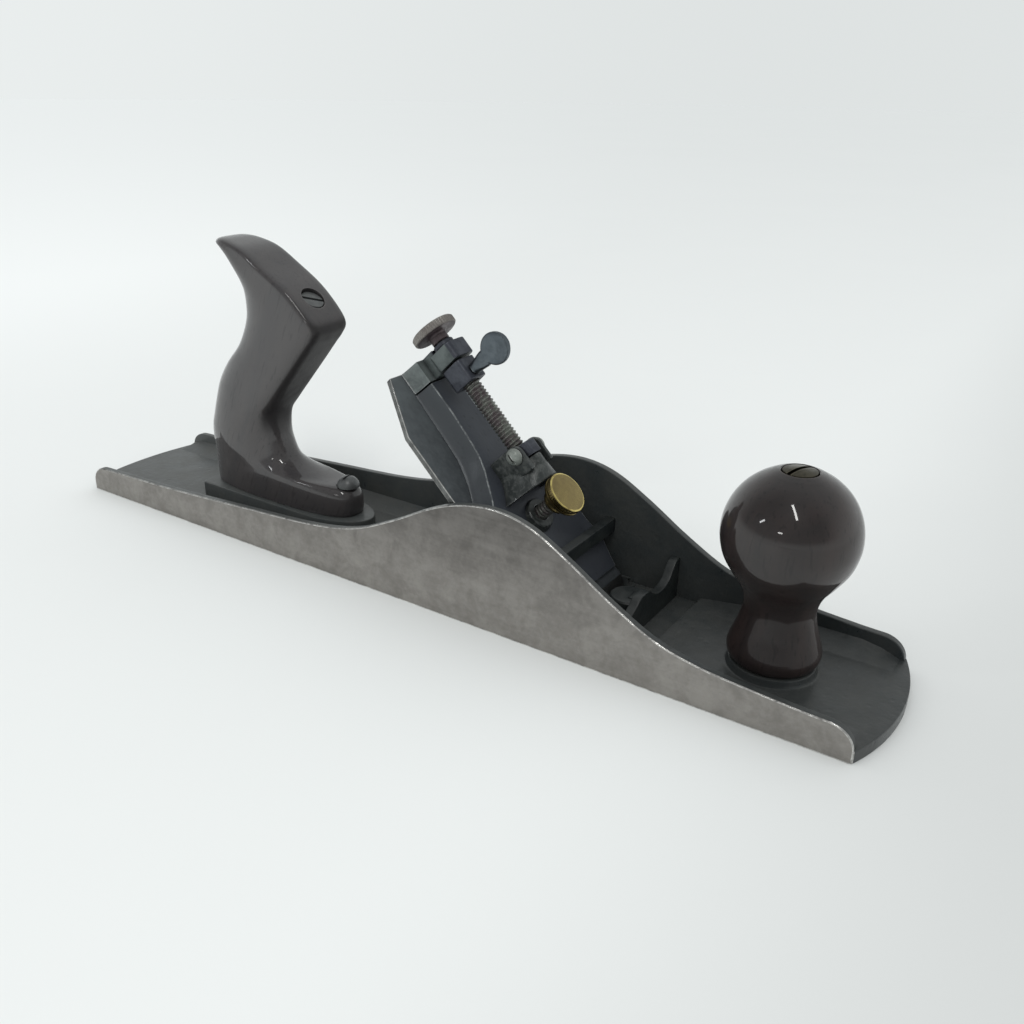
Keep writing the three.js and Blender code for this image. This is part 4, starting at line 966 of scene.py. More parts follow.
    # Paler copy of the bracket steel: painted light on the flanks of the foot.
    LIT_BRACKET_FOOT = MetalFinish(
        "steel with painted light", base=(0.185, 0.21, 0.205), patch=(0.11, 0.127, 0.126),
        edge=(0.3, 0.31, 0.31), metal=0.5, patch_metal=0.6, smooth=0.34, patch_scale=120.0,
        edge_start=0.36, dust_amount=0.12, grime_and_shade=0.5)
    DULL_NUT = MetalFinish(
        "dull nut", base=(0.13, 0.135, 0.133), patch=(0.095, 0.1, 0.1), edge=(0.26, 0.27, 0.27),
        metal=0.5, patch_metal=0.5, rough=0.44, patch_scale=160.0, edge_start=0.36)
    STUD = MetalFinish(
        "pale stud", base=(0.25, 0.275, 0.25), patch=(0.15, 0.165, 0.15), metal=0.3,
        patch_metal=0.3, smooth=0.36, patch_scale=200.0, grain_depth=0.00005)
    DARK_STEEL = MetalFinish(
        "dark steel", base=(0.06, 0.066, 0.08), patch=(0.034, 0.037, 0.048),
        edge=(0.26, 0.27, 0.28), metal=0.5, patch_metal=0.6, smooth=0.32, patch_scale=150.0,
        edge_start=0.34, grain_depth=0.00004, grime_and_shade=0.7)
    PADDLE = MetalFinish(
        "satin steel", base=(0.125, 0.145, 0.16), patch=(0.09, 0.105, 0.118),
        edge=(0.32, 0.33, 0.33), rough=0.44, patch_scale=140.0, edge_start=0.34,
        grain_depth=0.00002, marks_depth=0.000004, grime_and_shade=0.5)
    THREAD = MetalFinish(
        "threaded rod", base=(0.19, 0.205, 0.18), patch=(0.085, 0.07, 0.072),
        edge=(0.4, 0.42, 0.38), metal=0.6, patch_metal=0.4, smooth=0.34, rough=0.55,
        patch_scale=330.0, patch_softness=0.07, edge_reach=0.0003, edge_start=0.42,
        edge_breaks=0.9, grain_scale=1000.0, grain_depth=0.00012, grime_and_shade=0.5, speckle=0.4)
    WHEEL = MetalFinish(
        "aged bronze", base=(0.235, 0.223, 0.205), patch=(0.145, 0.13, 0.12),
        edge=(0.42, 0.4, 0.36), metal=0.6, patch_metal=0.5, smooth=0.34, patch_scale=130.0,
        edge_reach=0.0004, edge_start=0.42, grime_and_shade=0.8)
    # Darker copy of the bronze: painted shade on the hub and the underside of the wheel.
    WHEEL_SHADE = MetalFinish(
        "bronze in painted shade", base=(0.1, 0.078, 0.08), patch=(0.06, 0.045, 0.05),
        edge=(0.25, 0.22, 0.2), metal=0.5, patch_metal=0.4, smooth=0.36, rough=0.52,
        patch_scale=150.0, edge_start=0.5, grain_depth=0.00004, grime_and_shade=0.8)
    BRASS_LINE = MetalFinish(
        "bright brass", base=(0.85, 0.7, 0.25), patch=(0.34, 0.25, 0.1), smooth=0.2, rough=0.32,
        patch_scale=170.0, patch_balance=0.52, grain_depth=0.00001, grime_and_shade=0.3)
    BRASS = MetalFinish(
        "brass", base=(0.305, 0.238, 0.1), patch=(0.225, 0.172, 0.08), edge=(0.75, 0.62, 0.22),
        smooth=0.26, rough=0.4, patch_scale=110.0, edge_reach=0.0004, edge_start=0.4,
        grain_depth=0.000012, marks_depth=0.000003, grime_and_shade=0.5)
    NUT_BRASS = MetalFinish(
        "dark brass", base=(0.1, 0.09, 0.065), patch=(0.06, 0.054, 0.04), edge=(0.2, 0.18, 0.13),
        rough=0.45, patch_scale=200.0, grain_depth=0.00002)
    BRIGHT_STEEL = MetalFinish(
        "plain steel", base=(0.36, 0.36, 0.35), patch=(0.22, 0.215, 0.2), rough=0.48,
        patch_scale=180.0, grain_depth=0.00002, grime_and_shade=0.7)
    TOTE_WOOD = LacquerFinish(
        "tote wood", base=(0.037, 0.0345, 0.0355), streak=(0.046, 0.041, 0.0405),
        edge=(0.12, 0.11, 0.105), lean=math.radians(24), scale=75.0, coat_rough=0.06, rough=0.5,
        sheen=0.26, front_shade=0.85)
    KNOB_WOOD = LacquerFinish(
        "knob wood", base=(0.013, 0.0105, 0.0103), streak=(0.023, 0.0155, 0.0142),
        edge=(0.09, 0.07, 0.06), scale=55.0, coat=0.85, coat_rough=0.03, rough=0.42, sheen=0.2,
        dull_foot=0.6)


@dataclass
class Bench:
    nodes: dict[str, Shape]
    effects: Effects
    made: dict[str, Material] = field(default_factory=dict)

    def finish(self, look: Look) -> Material:
        """Material of a look, built the first time it is asked for."""
        if look.name not in self.made:
            self.made[look.name] = look.value.material(self.effects)
        return self.made[look.name]

    def hand_in(self, shape: Shape, name: str, node: str, looks: Sequence[Look],
                paint: Callable[[Vector, Vector], int] | None = None, body: Body = Body.CASTING,
                crease: float = 32.0, also: Sequence[str] = ()) -> Shape:
        """Makes a shape a piece that stands for a node.

        Args:
            shape: The shape in millimetres.
            name: The piece's name.
            node: Node that it replaces.
            looks: Its finishes.
            paint: Which of them a face takes, by its middle and its normal.
            body: Body that it rides on.
            crease: Least angle in degrees that stays a crisp edge.
            also: Other nodes that the same piece stands for.

        Returns:
            The piece.
        """
        mesh = shape.data
        mesh.materials.clear()
        for look in looks:
            mesh.materials.append(self.finish(look))
        for face in mesh.polygons:
            face.material_index = paint(face.center, face.normal) if paint else 0
        mesh.shade_smooth()
        mesh.set_sharp_from_angle(angle=math.radians(crease))
        weighted = shape.modifiers.new("normals", "WEIGHTED_NORMAL")
        weighted.keep_sharp = True
        settle(shape)
        shape.data.transform(Matrix.Scale(MILLIMETRE, 4))
        shape.name = name
        shape.data.name = name
        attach(shape, body.value)
        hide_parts(node, *also)
        LOG.info("%s: %d faces for %s", name, len(shape.data.polygons), node)
        return shape

    def dress(self, node: str, look: Look) -> None:
        """Gives a hidden node of the frame a finish of its own."""
        target = self.nodes[node]
        target.data.materials.clear()
        target.data.materials.append(self.finish(look))
        LOG.info("%s: %s", node, look.value.name)


# Body casting


@dataclass
class BodyCasting:
    """Sole, side walls, ribs, pads and bosses in one casting, and the frog on its floor."""

    length: float = 357.0
    width: float = 60.5
    wall: float = 2.8
    floor: float = 4.6
    toe_bulge: float = 6.4
    heel_bulge: float = 3.7
    hump: float = 47.2
    end_run: float = 8.4
    end_high: float = 11.6
    end_base: float = 3.9
    mouth_x: float = MOUTH_X
    rib_x: float = 89.4
    rib_thick: float = 3.4
    rib_high: float = 19.0
    rib_boss_run: float = 14.0
    bar_x: float = 62.1
    bar_half: float = 2.0
    bar_low: float = 21.5
    bar_high: float = 27.3
    mouth_half: float = 26.2
    recess: float = 2.8
    ledge_reach: float = 9.4
    ledge_high: float = 3.4
    pad_top: float = 11.2
    pad_x: float = -120.6
    pad_length: float = 87.5
    pad_half: float = 13.0
    pad_nose: float = 26.0
    knob_x: float = 136.9
    knob_boss: float = 14.2
    knob_boss_top: float = 7.6
    knob_rod: float = 3.1
    tote_screw: float = 2.1
    tote_screw_x: float = -44.6
    arris: float = 0.45
    wall_shares: Outline = field(default_factory=lambda: [
        (0.955, 0.252), (0.908, 0.277), (0.86, 0.312), (0.816, 0.393), (0.77, 0.57),
        (0.724, 0.783), (0.683, 0.943), (0.645, 1), (0.605, 0.968), (0.566, 0.866),
        (0.513, 0.661), (0.46, 0.494), (0.395, 0.403), (0.29, 0.345), (0.158, 0.283),
        (0.06, 0.256)])
    rib_shares: Outline = field(default_factory=lambda: [
        (0, 0.84), (0.12, 0.82), (0.24, 0.7), (0.4, 0.6), (0.56, 0.6), (0.7, 0.68),
        (0.8, 0.86), (0.88, 0.97), (1, 1)])

    @property
    def half(self) -> float:
        """Half of the width."""
        return self.width / 2

    @property
    def inner(self) -> float:
        """Half of the width between the walls."""
        return self.half - self.wall

    @property
    def heel_x(self) -> float:
        """Where the walls end behind."""
        return self.heel_bulge - self.length / 2

    @property
    def toe_x(self) -> float:
        """Where the walls end in front."""
        return self.length / 2 - self.toe_bulge

    def side_wall(self, side: int) -> Shape:
        """One side wall with its humped top edge and rounded arrises."""
        run = self.toe_x - self.heel_x
        rise = self.end_high - self.end_base
        top = [(self.toe_x - self.end_run, self.end_high)]
        top += [(self.heel_x + u * run, v * self.hump) for u, v in self.wall_shares]
        top.append((self.heel_x + self.end_run, self.end_high))
        front = arc((self.toe_x - self.end_run, self.end_base), self.end_run, rise, 0, 90, 16)
        back = arc((self.heel_x + self.end_run, self.end_base), self.end_run, rise, 90, 180, 16)
        outline = [(self.heel_x, 0.0), (self.toe_x, 0.0)]
        outline += front[:-1] + smooth_line(top, 8)[:-1] + back
        ends = sorted((self.inner * side, self.half * side))
        return drawn(outline, ends[0], ends[1], Sweep.ACROSS, rounding=self.arris, segments=3)

    def bow(self, x: float, bulge: float, side: int) -> Outline:
        """Bowed end of the sole from one corner to the other."""
        radius = (self.half ** 2 + bulge ** 2) / (2 * bulge)
        span = math.degrees(math.asin(self.half / radius))
        middle = (x + side * (bulge - radius), 0.0)
        start = 0 if side > 0 else 180
        return arc(middle, radius, radius, start - span, start + span, 40)

    def sole(self) -> Shape:
        """Floor of the casting between its bowed toe and heel."""
        inset = self.half - 1.2
        toe = self.bow(self.toe_x, self.toe_bulge, 1)
        heel = self.bow(self.heel_x, self.heel_bulge, -1)
        outline = [(self.heel_x + 1, -inset), (self.toe_x - 1, -inset), *toe]
        outline += [(self.toe_x - 1, inset), (self.heel_x + 1, inset), *heel]
        return drawn(outline, 0, self.floor, Sweep.UP, rounding=0.5)

    def ledge(self, side: int, stations: Sequence[tuple[float, float]]) -> Shape:
        """Sloped ledge where a wall meets the floor.

        Args:
            side: Which wall.
            stations: Place along the plane and share of the full height, from heel to toe.

        Returns:
            The ledge.
        """
        slope = [(0.0, self.ledge_high), (1.2, 2.5), (3.5, 1.6), (6.0, 0.85), (8.4, 0.3)]
        rings = []
        for x, share in stations:
            ring = [(x, (self.inner + 1) * side, self.floor - 1),
                    (x, (self.inner + 1) * side, self.floor + self.ledge_high * share)]
            ring += [(x, (self.inner - run) * side, self.floor + rise * share)
                     for run, rise in slope]
            ring += [(x, (self.inner - self.ledge_reach) * side, self.floor - 0.04),
                     (x, (self.inner - self.ledge_reach) * side, self.floor - 1)]
            rings.append(ring)
        return lofted(rings)

    def front_rib(self) -> Shape:
        """Scalloped cross rib ahead of the mouth."""
        reach = self.inner + 0.6
        half = [(u * reach, v * self.rib_high) for u, v in smooth_line(self.rib_shares, 4)]
        outline = [(-reach, 0.6), (reach, 0.6), *half[::-1], *[(-u, v) for u, v in half[1:]]]
        low = self.rib_x - self.rib_thick / 2
        return drawn(outline, low, low + self.rib_thick, Sweep.ALONG, rounding=0.7)

    def rib_boss(self) -> Shape:
        """Web and round boss behind the cross rib."""
        back, low, high = self.rib_x - self.rib_boss_run, 2.2, 14.5
        outline = [(back, low), (self.rib_x, low), (self.rib_x, high), (self.rib_x - 3.4, high),
                   (back, 3.3)]
        web = drawn(outline, -3, 3, Sweep.ACROSS, rounding=0.8)
        profile = [(0, low), (6.5, low), (6.5, 13.2), (6.1, 13.8), (5.6, 14), (0, 14)]
        return joined(web, turned(profile, 40, at=(self.rib_x - 4.8, 0, 0)))

    def pad(self) -> Shape:
        """Raised pad under the tote, with rounded corners."""
        straight = self.pad_x + self.pad_length - self.pad_nose
        nose = arc((straight, 0), self.pad_nose, self.pad_half, -90, 90, 28)
        corner = 2.4
        near = arc((self.pad_x + corner, -self.pad_half + corner), corner, corner, 180, 270, 5)
        far = arc((self.pad_x + corner, self.pad_half - corner), corner, corner, 90, 180, 5)
        return drawn(near + nose + far, self.floor - 1, self.pad_top, Sweep.UP, rounding=0.8)

    def knob_seat(self) -> Shape:
        """Low round boss under the knob."""
        top, wide = self.knob_boss_top, self.knob_boss
        profile = [(0, self.floor - 1), (wide + 1.2, self.floor - 1), (wide + 1.2, self.floor),
                   (wide + 0.4, self.floor + 0.4), (wide, self.floor + 1.2), (wide, top - 0.7),
                   (wide - 0.25, top - 0.2), (wide - 0.8, top), (0, top)]
        return turned(profile, 64, at=(self.knob_x, 0, 0))

    def mouth(self) -> Shape:
        """Opening for the cutting edge."""
        front = self.mouth_x + 1.1 * math.sqrt(2) + 2.1
        back = self.mouth_x - 1.4 * math.sqrt(2)
        outline = [(back + 1, -1), (front, -1), (front, 1.5), (front + 4.5, self.floor),
                   (front + 4.5, 12), (back - 12, 12)]
        return drawn(outline, -self.mouth_half, self.mouth_half, Sweep.ACROSS)

    def paint(self, middle: Vector, normal: Vector) -> int:
        """Finish of a face: ground outside, worn on outer arrises, coated inside, painted shade on
        the rib, boss and bar.
        """
        if middle.z < 0.05 or abs(middle.y) > self.half - 0.02:
            return 0
        outward = normal.y * (1 if middle.y > 0 else -1)
        if abs(middle.y) > self.half - self.arris - 0.02 and outward > 0.1:
            return 2
        between = abs(middle.y) < self.inner - 0.2
        on_rib = abs(middle.x - self.rib_x) < 2 and (abs(normal.x) > 0.5 or middle.z > 8)
        on_boss = -self.rib_boss_run - 0.6 < middle.x - self.rib_x < 0 and abs(middle.y) < 7
        on_boss = on_boss and middle.z > 3.2
        on_bar = abs(middle.x - self.bar_x) < self.bar_half + 0.2 and middle.z > 20
        # Painted shade on the rib, its boss and the bar.
        return 3 if between and (on_rib or on_boss or on_bar) else 1

    def casting(self) -> Shape:
        """The whole casting with its holes."""
        recesses = ((self.mouth_x + 2.1, self.mouth_x + 17.5),
                    (self.rib_x + 1.7, self.rib_x + 10.7))
        floor = cut(self.sole(), *[slab((start, -self.inner, self.recess), (end, self.inner, PAST))
                                   for start, end in recesses])
        bar = slab((self.bar_x - self.bar_half, -self.inner - 0.6, self.bar_low),
                   (self.bar_x + self.bar_half, self.inner + 0.6, self.bar_high), rounding=0.7)
        rear = [(self.heel_x + 1.6, 0.55), (self.heel_x + 9, 0.9), (self.heel_x + 20, 1),
                (self.heel_x + 150, 1), (self.heel_x + 172, 0.12)]
        front = [(self.rib_x + 11.2, 0.08), (self.rib_x + 26, 0.75), (self.rib_x + 36, 1),
                 (self.toe_x - 14, 1), (self.toe_x - 8, 0.72), (self.toe_x - 4, 0.3),
                 (self.toe_x - 1.6, 0.03)]
        body = joined(
            floor, self.side_wall(-1), self.side_wall(1), bar, self.front_rib(), self.rib_boss(),
            self.ledge(-1, rear), self.ledge(1, rear), self.ledge(-1, front), self.ledge(1, front),
            self.pad(), self.knob_seat(),
        )
        return cut(body, self.mouth(), pin(self.knob_rod, 2, 20, (self.knob_x, 0, 0)),
                   pin(self.tote_screw, 5, 20, (self.tote_screw_x, 0, 0)))

    def build(self, bench: Bench) -> None:
        """Builds the casting and the frog with its screws.

        Args:
            bench: Where they are handed in.
        """
        bench.hand_in(self.casting(), "plane_body", "body_casting",
                      [Look.GROUND, Look.JAPANNED, Look.ARRIS, Look.RIB_SHADE], self.paint,
                      also=("cross_bar", "knob_boss"))
        frog = from_node(bench.nodes["frog"], 0.5)
        bench.hand_in(frog, "frog_casting", "frog", [Look.JAPANNED])
        for side in ("right", "left"):
            bench.dress(f"frog_washer_{side}", Look.BRIGHT_STEEL)
            bench.dress(f"frog_screw_{side}", Look.BRIGHT_STEEL)


# Irons


@dataclass
class Irons:
    """Cutting iron, cap iron and the screw that holds them together."""

    width: float = 50.8
    length: float = 110.2
    shoulder: float = 87.8
    top_width: float = 31.2
    face: float = 1.1
    under: float = -1.1
    edge_up: float = -0.89
    bevel_run: float = 4.72
    slot_half: float = 5.55
    slot_start: float = 34.0
    slot_end: float = 84.0
    rivet_place: float = 105.6
    rounding: float = 0.25
    cap_clip: float = 46.2
    cap_tongue: float = 11.0

    def cutting_iron(self) -> Shape:
        """Flat iron with a ground bevel, a slot and clipped shoulders."""
        half, top = self.width / 2, self.top_width / 2
        outline = [(self.edge_up, -half), (self.shoulder, -half), (self.length, -top),
                   (self.length, top), (self.shoulder, half), (self.edge_up, half)]
        blank = drawn(outline, self.under, self.face, Sweep.UP, IRON, self.rounding)
        before, after, low = self.edge_up - 2, self.edge_up + self.bevel_run, self.under - 2
        wedge = [(before, self.face + 0.93), (after, self.under), (after, low), (before, low)]
        bevel = drawn(wedge, -half - 2, half + 2, Sweep.ACROSS, IRON)
        wide, deep = self.slot_half, 6
        slot = arc((self.slot_start + wide, 0), wide, wide, 90, 270, 16)
        slot += arc((self.slot_end - wide, 0), wide, wide, -90, 90, 16)
        hole = pin(1.8, -deep, deep, (self.rivet_place, 0, 0), frame=IRON)
        return cut(blank, bevel, drawn(slot, -deep, deep, Sweep.UP, IRON), hole)

    def paint(self, _middle: Vector, normal: Vector) -> int:
        """Finish of a face: blue on the flats, ground on the edges, worn on the arrises."""
        out = abs((TURN_TO_IRON @ normal).z)
        if 0.1 < out < 0.97:
            return 2
        return 0 if out > 0.6 else 1

    def build(self, bench: Bench) -> None:
        """Builds the irons.

        Args:
            bench: Where they are handed in.
        """
        bench.hand_in(self.cutting_iron(), "cutting_iron", "cutter_iron",
                      [Look.BLUED, Look.IRON_EDGE, Look.ARRIS], self.paint, Body.CUTTER)
        corners = [slab((self.cap_clip, low, -6), (60, high, 10), IRON)
                   for low, high in ((self.cap_tongue, PAST), (-PAST, -self.cap_tongue))]
        cap = cut(from_node(bench.nodes["cap_iron"], 0.2), *corners)
        bench.hand_in(cap, "iron_cap", "cap_iron",
                      [Look.BLUED, Look.IRON_EDGE, Look.IRON_EDGE], self.paint, Body.CUTTER)
        screw = from_node(bench.nodes["cap_iron_screw"], 0.3)
        bench.hand_in(screw, "iron_cap_screw", "cap_iron_screw", [Look.DARK_STEEL],
                      body=Body.CUTTER)


# Lever cap


@dataclass
class LeverCap:
    """Bell shaped lever cap with its hood, nut block, studs and brass clamp screw."""

    nose: float = 9.0
    tail: float = 100.5
    half: float = 24.6
    thick: float = 8.4
    low: float = 1.22
    lip: float = 0.1
    over_cap_iron: float = 3.4
    cap_iron_room: float = 61.7
    tongue_room: float = 11.5
    skirt_room: float = 52.0
    hump_room: float = 19.0
    hump_rise: float = 0.8
    clamp_place: float = 40.5
    hood_low: float = 7.9
    hood_front: float = 48.4
    hood_back: float = 58.0
    hood_front_half: float = 13.2
    hood_back_half: float = 7.0
    hood_front_top: float = 22.6
    hood_back_top: float = 24.0
    bore_radius: float = 3.5
    nut_length: float = 5.2
    nut_half: float = 4.9
    nut_top: float = 24.1
    stud_height: float = 19.8
    sections: list[tuple[float, float, float, float]] = field(default_factory=lambda: [
        (0, 1, 0.97, 0.62), (0.04, 1, 0.97, 0.7), (0.1, 1, 0.97, 0.86), (0.13, 1, 0.97, 0.93),
        (0.16, 1, 0.97, 0.93), (0.19, 1, 0.97, 0.86), (0.24, 1, 0.97, 0.8),
        (0.32, 1, 0.97, 0.84), (0.373, 0.99, 0.94, 0.94), (0.412, 0.96, 0.88, 1),
        (0.439, 0.92, 0.81, 1), (0.477, 0.84, 0.7, 1), (0.517, 0.745, 0.61, 1),
        (0.557, 0.66, 0.53, 1), (0.6, 0.58, 0.44, 1), (0.655, 0.51, 0.362, 1),
        (0.7, 0.465, 0.333, 1), (0.757, 0.445, 0.312, 1), (0.877, 0.42, 0.28, 1),
        (1, 0.4, 0.288, 1)])

    @property
    def stud_place(self) -> float:
        """Middle of the nut block, where the studs stand."""
        return self.hood_back + 0.3 + self.nut_length / 2

    def bell_ring(self, section: Sequence[float]) -> list[Point]:
        """Ring across the cap with a rounded arris and hollow flanks."""
        run, foot, top, high = section
        up = self.nose + run * (self.tail - self.nose)
        foot, top, high = foot * self.half, top * self.half, high * self.thick
        lip = self.low + self.lip
        steps = 10
        right = [(-foot, self.low)]
        for i in range(steps + 1):
            share = i / steps
            right.append((-foot - (top - foot) * share, lip + (high - 0.35 - lip) * share ** 1.61))
        right.append((-top + 0.12, high - 0.1))
        right.append((-top + 0.45, high))
        left = [(-u, v) for u, v in right[::-1]]
        return [(up, u, v) for u, v in right + left]

    def arch_ring(self, up: float, half: float, low: float, high: float) -> list[Point]:
        """Ring of an arch that stands across the iron."""
        steps = 36
        angles = [math.pi * i / steps for i in range(steps + 1)]
        return [(up, -math.cos(a) * half, low + math.sin(a) * (high - low)) for a in angles]

    def arched(self, front: Sequence[float], back: Sequence[float], low: float) -> Shape:
        """Arched solid from a wide front to a narrower back."""
        bend = smooth_line([(0, 0), (0.33, 0.45), (0.67, 0.8), (1, 1)], 4)
        rings = [
            self.arch_ring(front[0] + (back[0] - front[0]) * run,
                           front[1] + (back[1] - front[1]) * drawn_in,
                           low, front[2] + (back[2] - front[2]) * drawn_in)
            for run, drawn_in in bend
        ]
        return lofted(rings, IRON)

    def ear(self, side: int) -> Shape:
        """Cheek of the hood that carries a stud."""
        round_end, back = 3.5, self.hood_back - 4.2
        outline = [(back, self.hood_low), (self.stud_place + round_end, self.hood_low)]
        outline += arc((self.stud_place, self.stud_height), round_end, round_end, 0, 90, 10)
        outline.append((back, self.stud_height + round_end))
        ends = sorted(((self.nut_half + 0.3) * side, (self.nut_half + 1.9) * side))
        return drawn(outline, ends[0], ends[1], Sweep.ACROSS, IRON, rounding=0.4)

    def room(self, end: float, half: float, high: float) -> Shape:
        """Block that clears the underside of the cap from its nose to a place."""
        return slab((self.nose - 0.5, -half, -6), (end, half, high), IRON)

    def casting(self) -> Shape:
        """Cap, hood, ears and clamp boss in one casting."""
        rings = [self.bell_ring(s) for s in smooth_line(self.sections, 4)]
        plate = lofted(rings, IRON)
        hood = self.arched((self.hood_front, self.hood_front_half, self.hood_front_top),
                           (self.hood_back, self.hood_back_half, self.hood_back_top),
                           self.hood_low)
        rounded(hood, 0.6, 2, 40)
        profile = [(0, 3.9), (6.9, 3.9), (6.6, 7.2), (5.9, 8.4), (5.8, 9.2), (5.4, 9.6), (0, 9.6)]
        boss = turned(profile, 40, at=(self.clamp_place, 0, 0), frame=IRON)
        body = joined(plate, hood, self.ear(-1), self.ear(1), boss)
        shell = 2.6
        hollow = self.arched(
            (self.hood_front - 0.5, self.hood_front_half - shell, self.hood_front_top - shell),
            (self.hood_front + 5, self.hood_back_half, ROD_HEIGHT), self.thick)
        return cut(
            body,
            self.room(self.skirt_room, PAST, self.over_cap_iron),
            self.room(self.cap_iron_room, self.tongue_room, self.over_cap_iron),
            self.room(self.hump_room, PAST, self.over_cap_iron + self.hump_rise),
            hollow, rod_bore(self.bore_radius, self.hood_front + 2.5, self.hood_back + 6),
            pin(1.9, -PAST, PAST, (self.stud_place, 0, self.stud_height), sweep=Sweep.ACROSS,
                frame=IRON),
            pin(3.2, -6, 16, (self.clamp_place, 0, 0), frame=IRON),
            slab((self.hood_back, -self.nut_half - 0.3, self.thick),
                 (self.hood_back + self.nut_length + 0.6, self.nut_half + 0.3, 30), IRON),
        )

    def paint(self, middle: Vector, _normal: Vector) -> int:
        """Finish of a face: plain flank, dark face, worn arris or rough hood."""
        place = TO_IRON @ middle
        run = (place.x - self.nose) / (self.tail - self.nose)
        rows = smooth_line(self.sections, 4)
        high = rows[-1][3]
        for before, after in zip(rows, rows[1:]):
            if run <= after[0]:
                share = max(0.0, (run - before[0]) / (after[0] - before[0]))
                high = before[3] + (after[3] - before[3]) * share
                break
        above = place.z - high * self.thick
        if above > 0.1:
            return 3
        if above > -0.03:
            return 1
        return 2 if above > -0.3 else 0

    def nut_block(self) -> Shape:
        """Nut that the adjuster screw runs in, with sloped shoulders."""
        low, shoulder = self.thick + 0.3, self.nut_top - 3.5
        half = self.nut_half
        outline = [(-half, low), (half, low), (half, shoulder), (2.6, self.nut_top),
                   (-2.6, self.nut_top), (-half, shoulder)]
        start = self.hood_back + 0.3
        block = drawn(outline, start, start + self.nut_length, Sweep.ALONG, IRON, rounding=0.55)
        return cut(block, rod_bore(self.bore_radius, start - 6, start + 12))

    def stud(self, side: int) -> Shape:
        """Domed and slotted stud through an ear into the nut block."""
        seat, middle, half_slot = 7.1, self.stud_place, 0.35
        profile = [(0, 3.9), (1.6, 3.9), (1.6, seat), *arc((0, seat), 3.2, 2.6, 0, 90, 10)]
        profile = [(r, h * side) for r, h in profile]
        stud = turned(profile, 36, Sweep.ACROSS, (middle, 0, self.stud_height), IRON)
        ends = sorted((8.9 * side, 12 * side))
        return cut(stud, slab((middle - 5, ends[0], self.stud_height - half_slot),
                              (middle + 5, ends[1], self.stud_height + half_slot), IRON))

    def clamp_head(self) -> Shape:
        """Brass thumb disc on its hub, with a groove round its edge."""
        low, seat, top = 16.6, 20.9, 24.5
        groove = seat + 1.44
        profile = [
            (0, 21.9), (3.2, 21.9), (3.2, low), (4.2, low), (4.6, low + 0.4), (4.6, low + 1.1),
            (4.2, low + 1.5), (4.2, low + 1.9), (4.6, low + 2.3), (4.6, seat - 0.2), (4.9, seat),
            (7.2, seat), (7.6, seat + 0.12), (7.8, seat + 0.45), (7.8, groove - 0.35),
            (7.3, groove - 0.15), (7.3, groove + 0.15), (7.8, groove + 0.35), (7.8, top - 0.6),
            (7.68, top - 0.25), (7.4, top - 0.04), (7.1, top), (3.5, top + 0.12), (0, top + 0.16),
        ]

        def milled(angle: float, run: float) -> float:
            """Fine teeth round the upper half of the rim."""
            return 0.06 * math.cos(60 * angle) if groove + 0.2 < run < top - 0.3 else 0.0

        return turned(profile, 180, at=(self.clamp_place, 0, 0), frame=IRON, ripple=milled)

    def paint_disc(self, middle: Vector, _normal: Vector) -> int:
        """Bright brass where fingers have worn the rim of the disc."""
        place = TO_IRON @ middle
        reach = math.hypot(place.x - self.clamp_place, place.y)
        return 1 if 7.2 < reach < 7.76 and place.z > 24.1 else 0

    def build(self, bench: Bench) -> None:
        """Builds the lever cap and its fittings.

        Args:
            bench: Where they are handed in.
        """
        bench.hand_in(self.casting(), "bell_cap", "lever_cap",
                      [Look.CAP, Look.CAP_TOP, Look.CAP_LINE, Look.HOOD], self.paint)
        bench.hand_in(self.nut_block(), "rod_nut", "nut_block", [Look.DARK_STEEL])
        for side, word in ((1, "right"), (-1, "left")):
            bench.hand_in(self.stud(side), f"hood_stud_{word}", f"trunnion_screw_{word}",
                          [Look.STUD])
        place = Matrix.Translation((self.clamp_place, 0, 0))
        shank = threaded(self.over_cap_iron, 21.6, 2.9, 0.35, 1.4, place, Sweep.UP)
        bench.hand_in(shank, "clamp_shank", "clamp_screw", [Look.THREAD], body=Body.CLAMP)
        bench.hand_in(self.clamp_head(), "clamp_disc", "clamp_thumb_head",
                      [Look.BRASS, Look.BRASS_LINE], self.paint_disc, Body.CLAMP)


def threaded(start: float, end: float, radius: float, depth: float, pitch: float,
             place: Matrix, sweep: Sweep, tail: Outline | None = None) -> Shape:
    """Right handed thread on a rod that lies in the frame of the irons.

    Args:
        start: Where the thread starts.
        end: Where it ends.
        radius: Radius over its crests.
        depth: Depth of its grooves.
        pitch: Distance from crest to crest.
        place: Moves the rod within that frame.
        sweep: Direction of the rod.
        tail: Plain radii and places beyond the end of the thread.

    Returns:
        The shape.
    """
    sides, per_turn = 36, 8
    count = max(2, int((end - start) / pitch * per_turn))
    rings: list[list[Point]] = []
    hand = -1 if sweep is Sweep.ACROSS else 1
    for k in range(count + 1):
        run = start + (end - start) * k / count
        fade = min(1.0, (run - start) / pitch + 0.15, (end - run) / pitch + 0.15)
        ring = []
        for i in range(sides):
            angle = 2 * math.pi * i / sides
            phase = (run / pitch - hand * angle / (2 * math.pi)) % 1.0
            crest = abs(2 * phase - 1)
            reach = radius - depth * fade * (1 - max(0.0, min(1.0, 1.35 * crest - 0.1)))
            ring.append(sweep.point(reach * math.cos(angle), reach * math.sin(angle), run))
        rings.append(ring)
    for reach, run in tail or []:
        circle = arc((0, 0), reach, reach, 0, 360, sides)[:-1]
        rings.append([sweep.point(u, v, run) for u, v in circle])
    return lofted(rings, IRON @ place)


# Adjuster


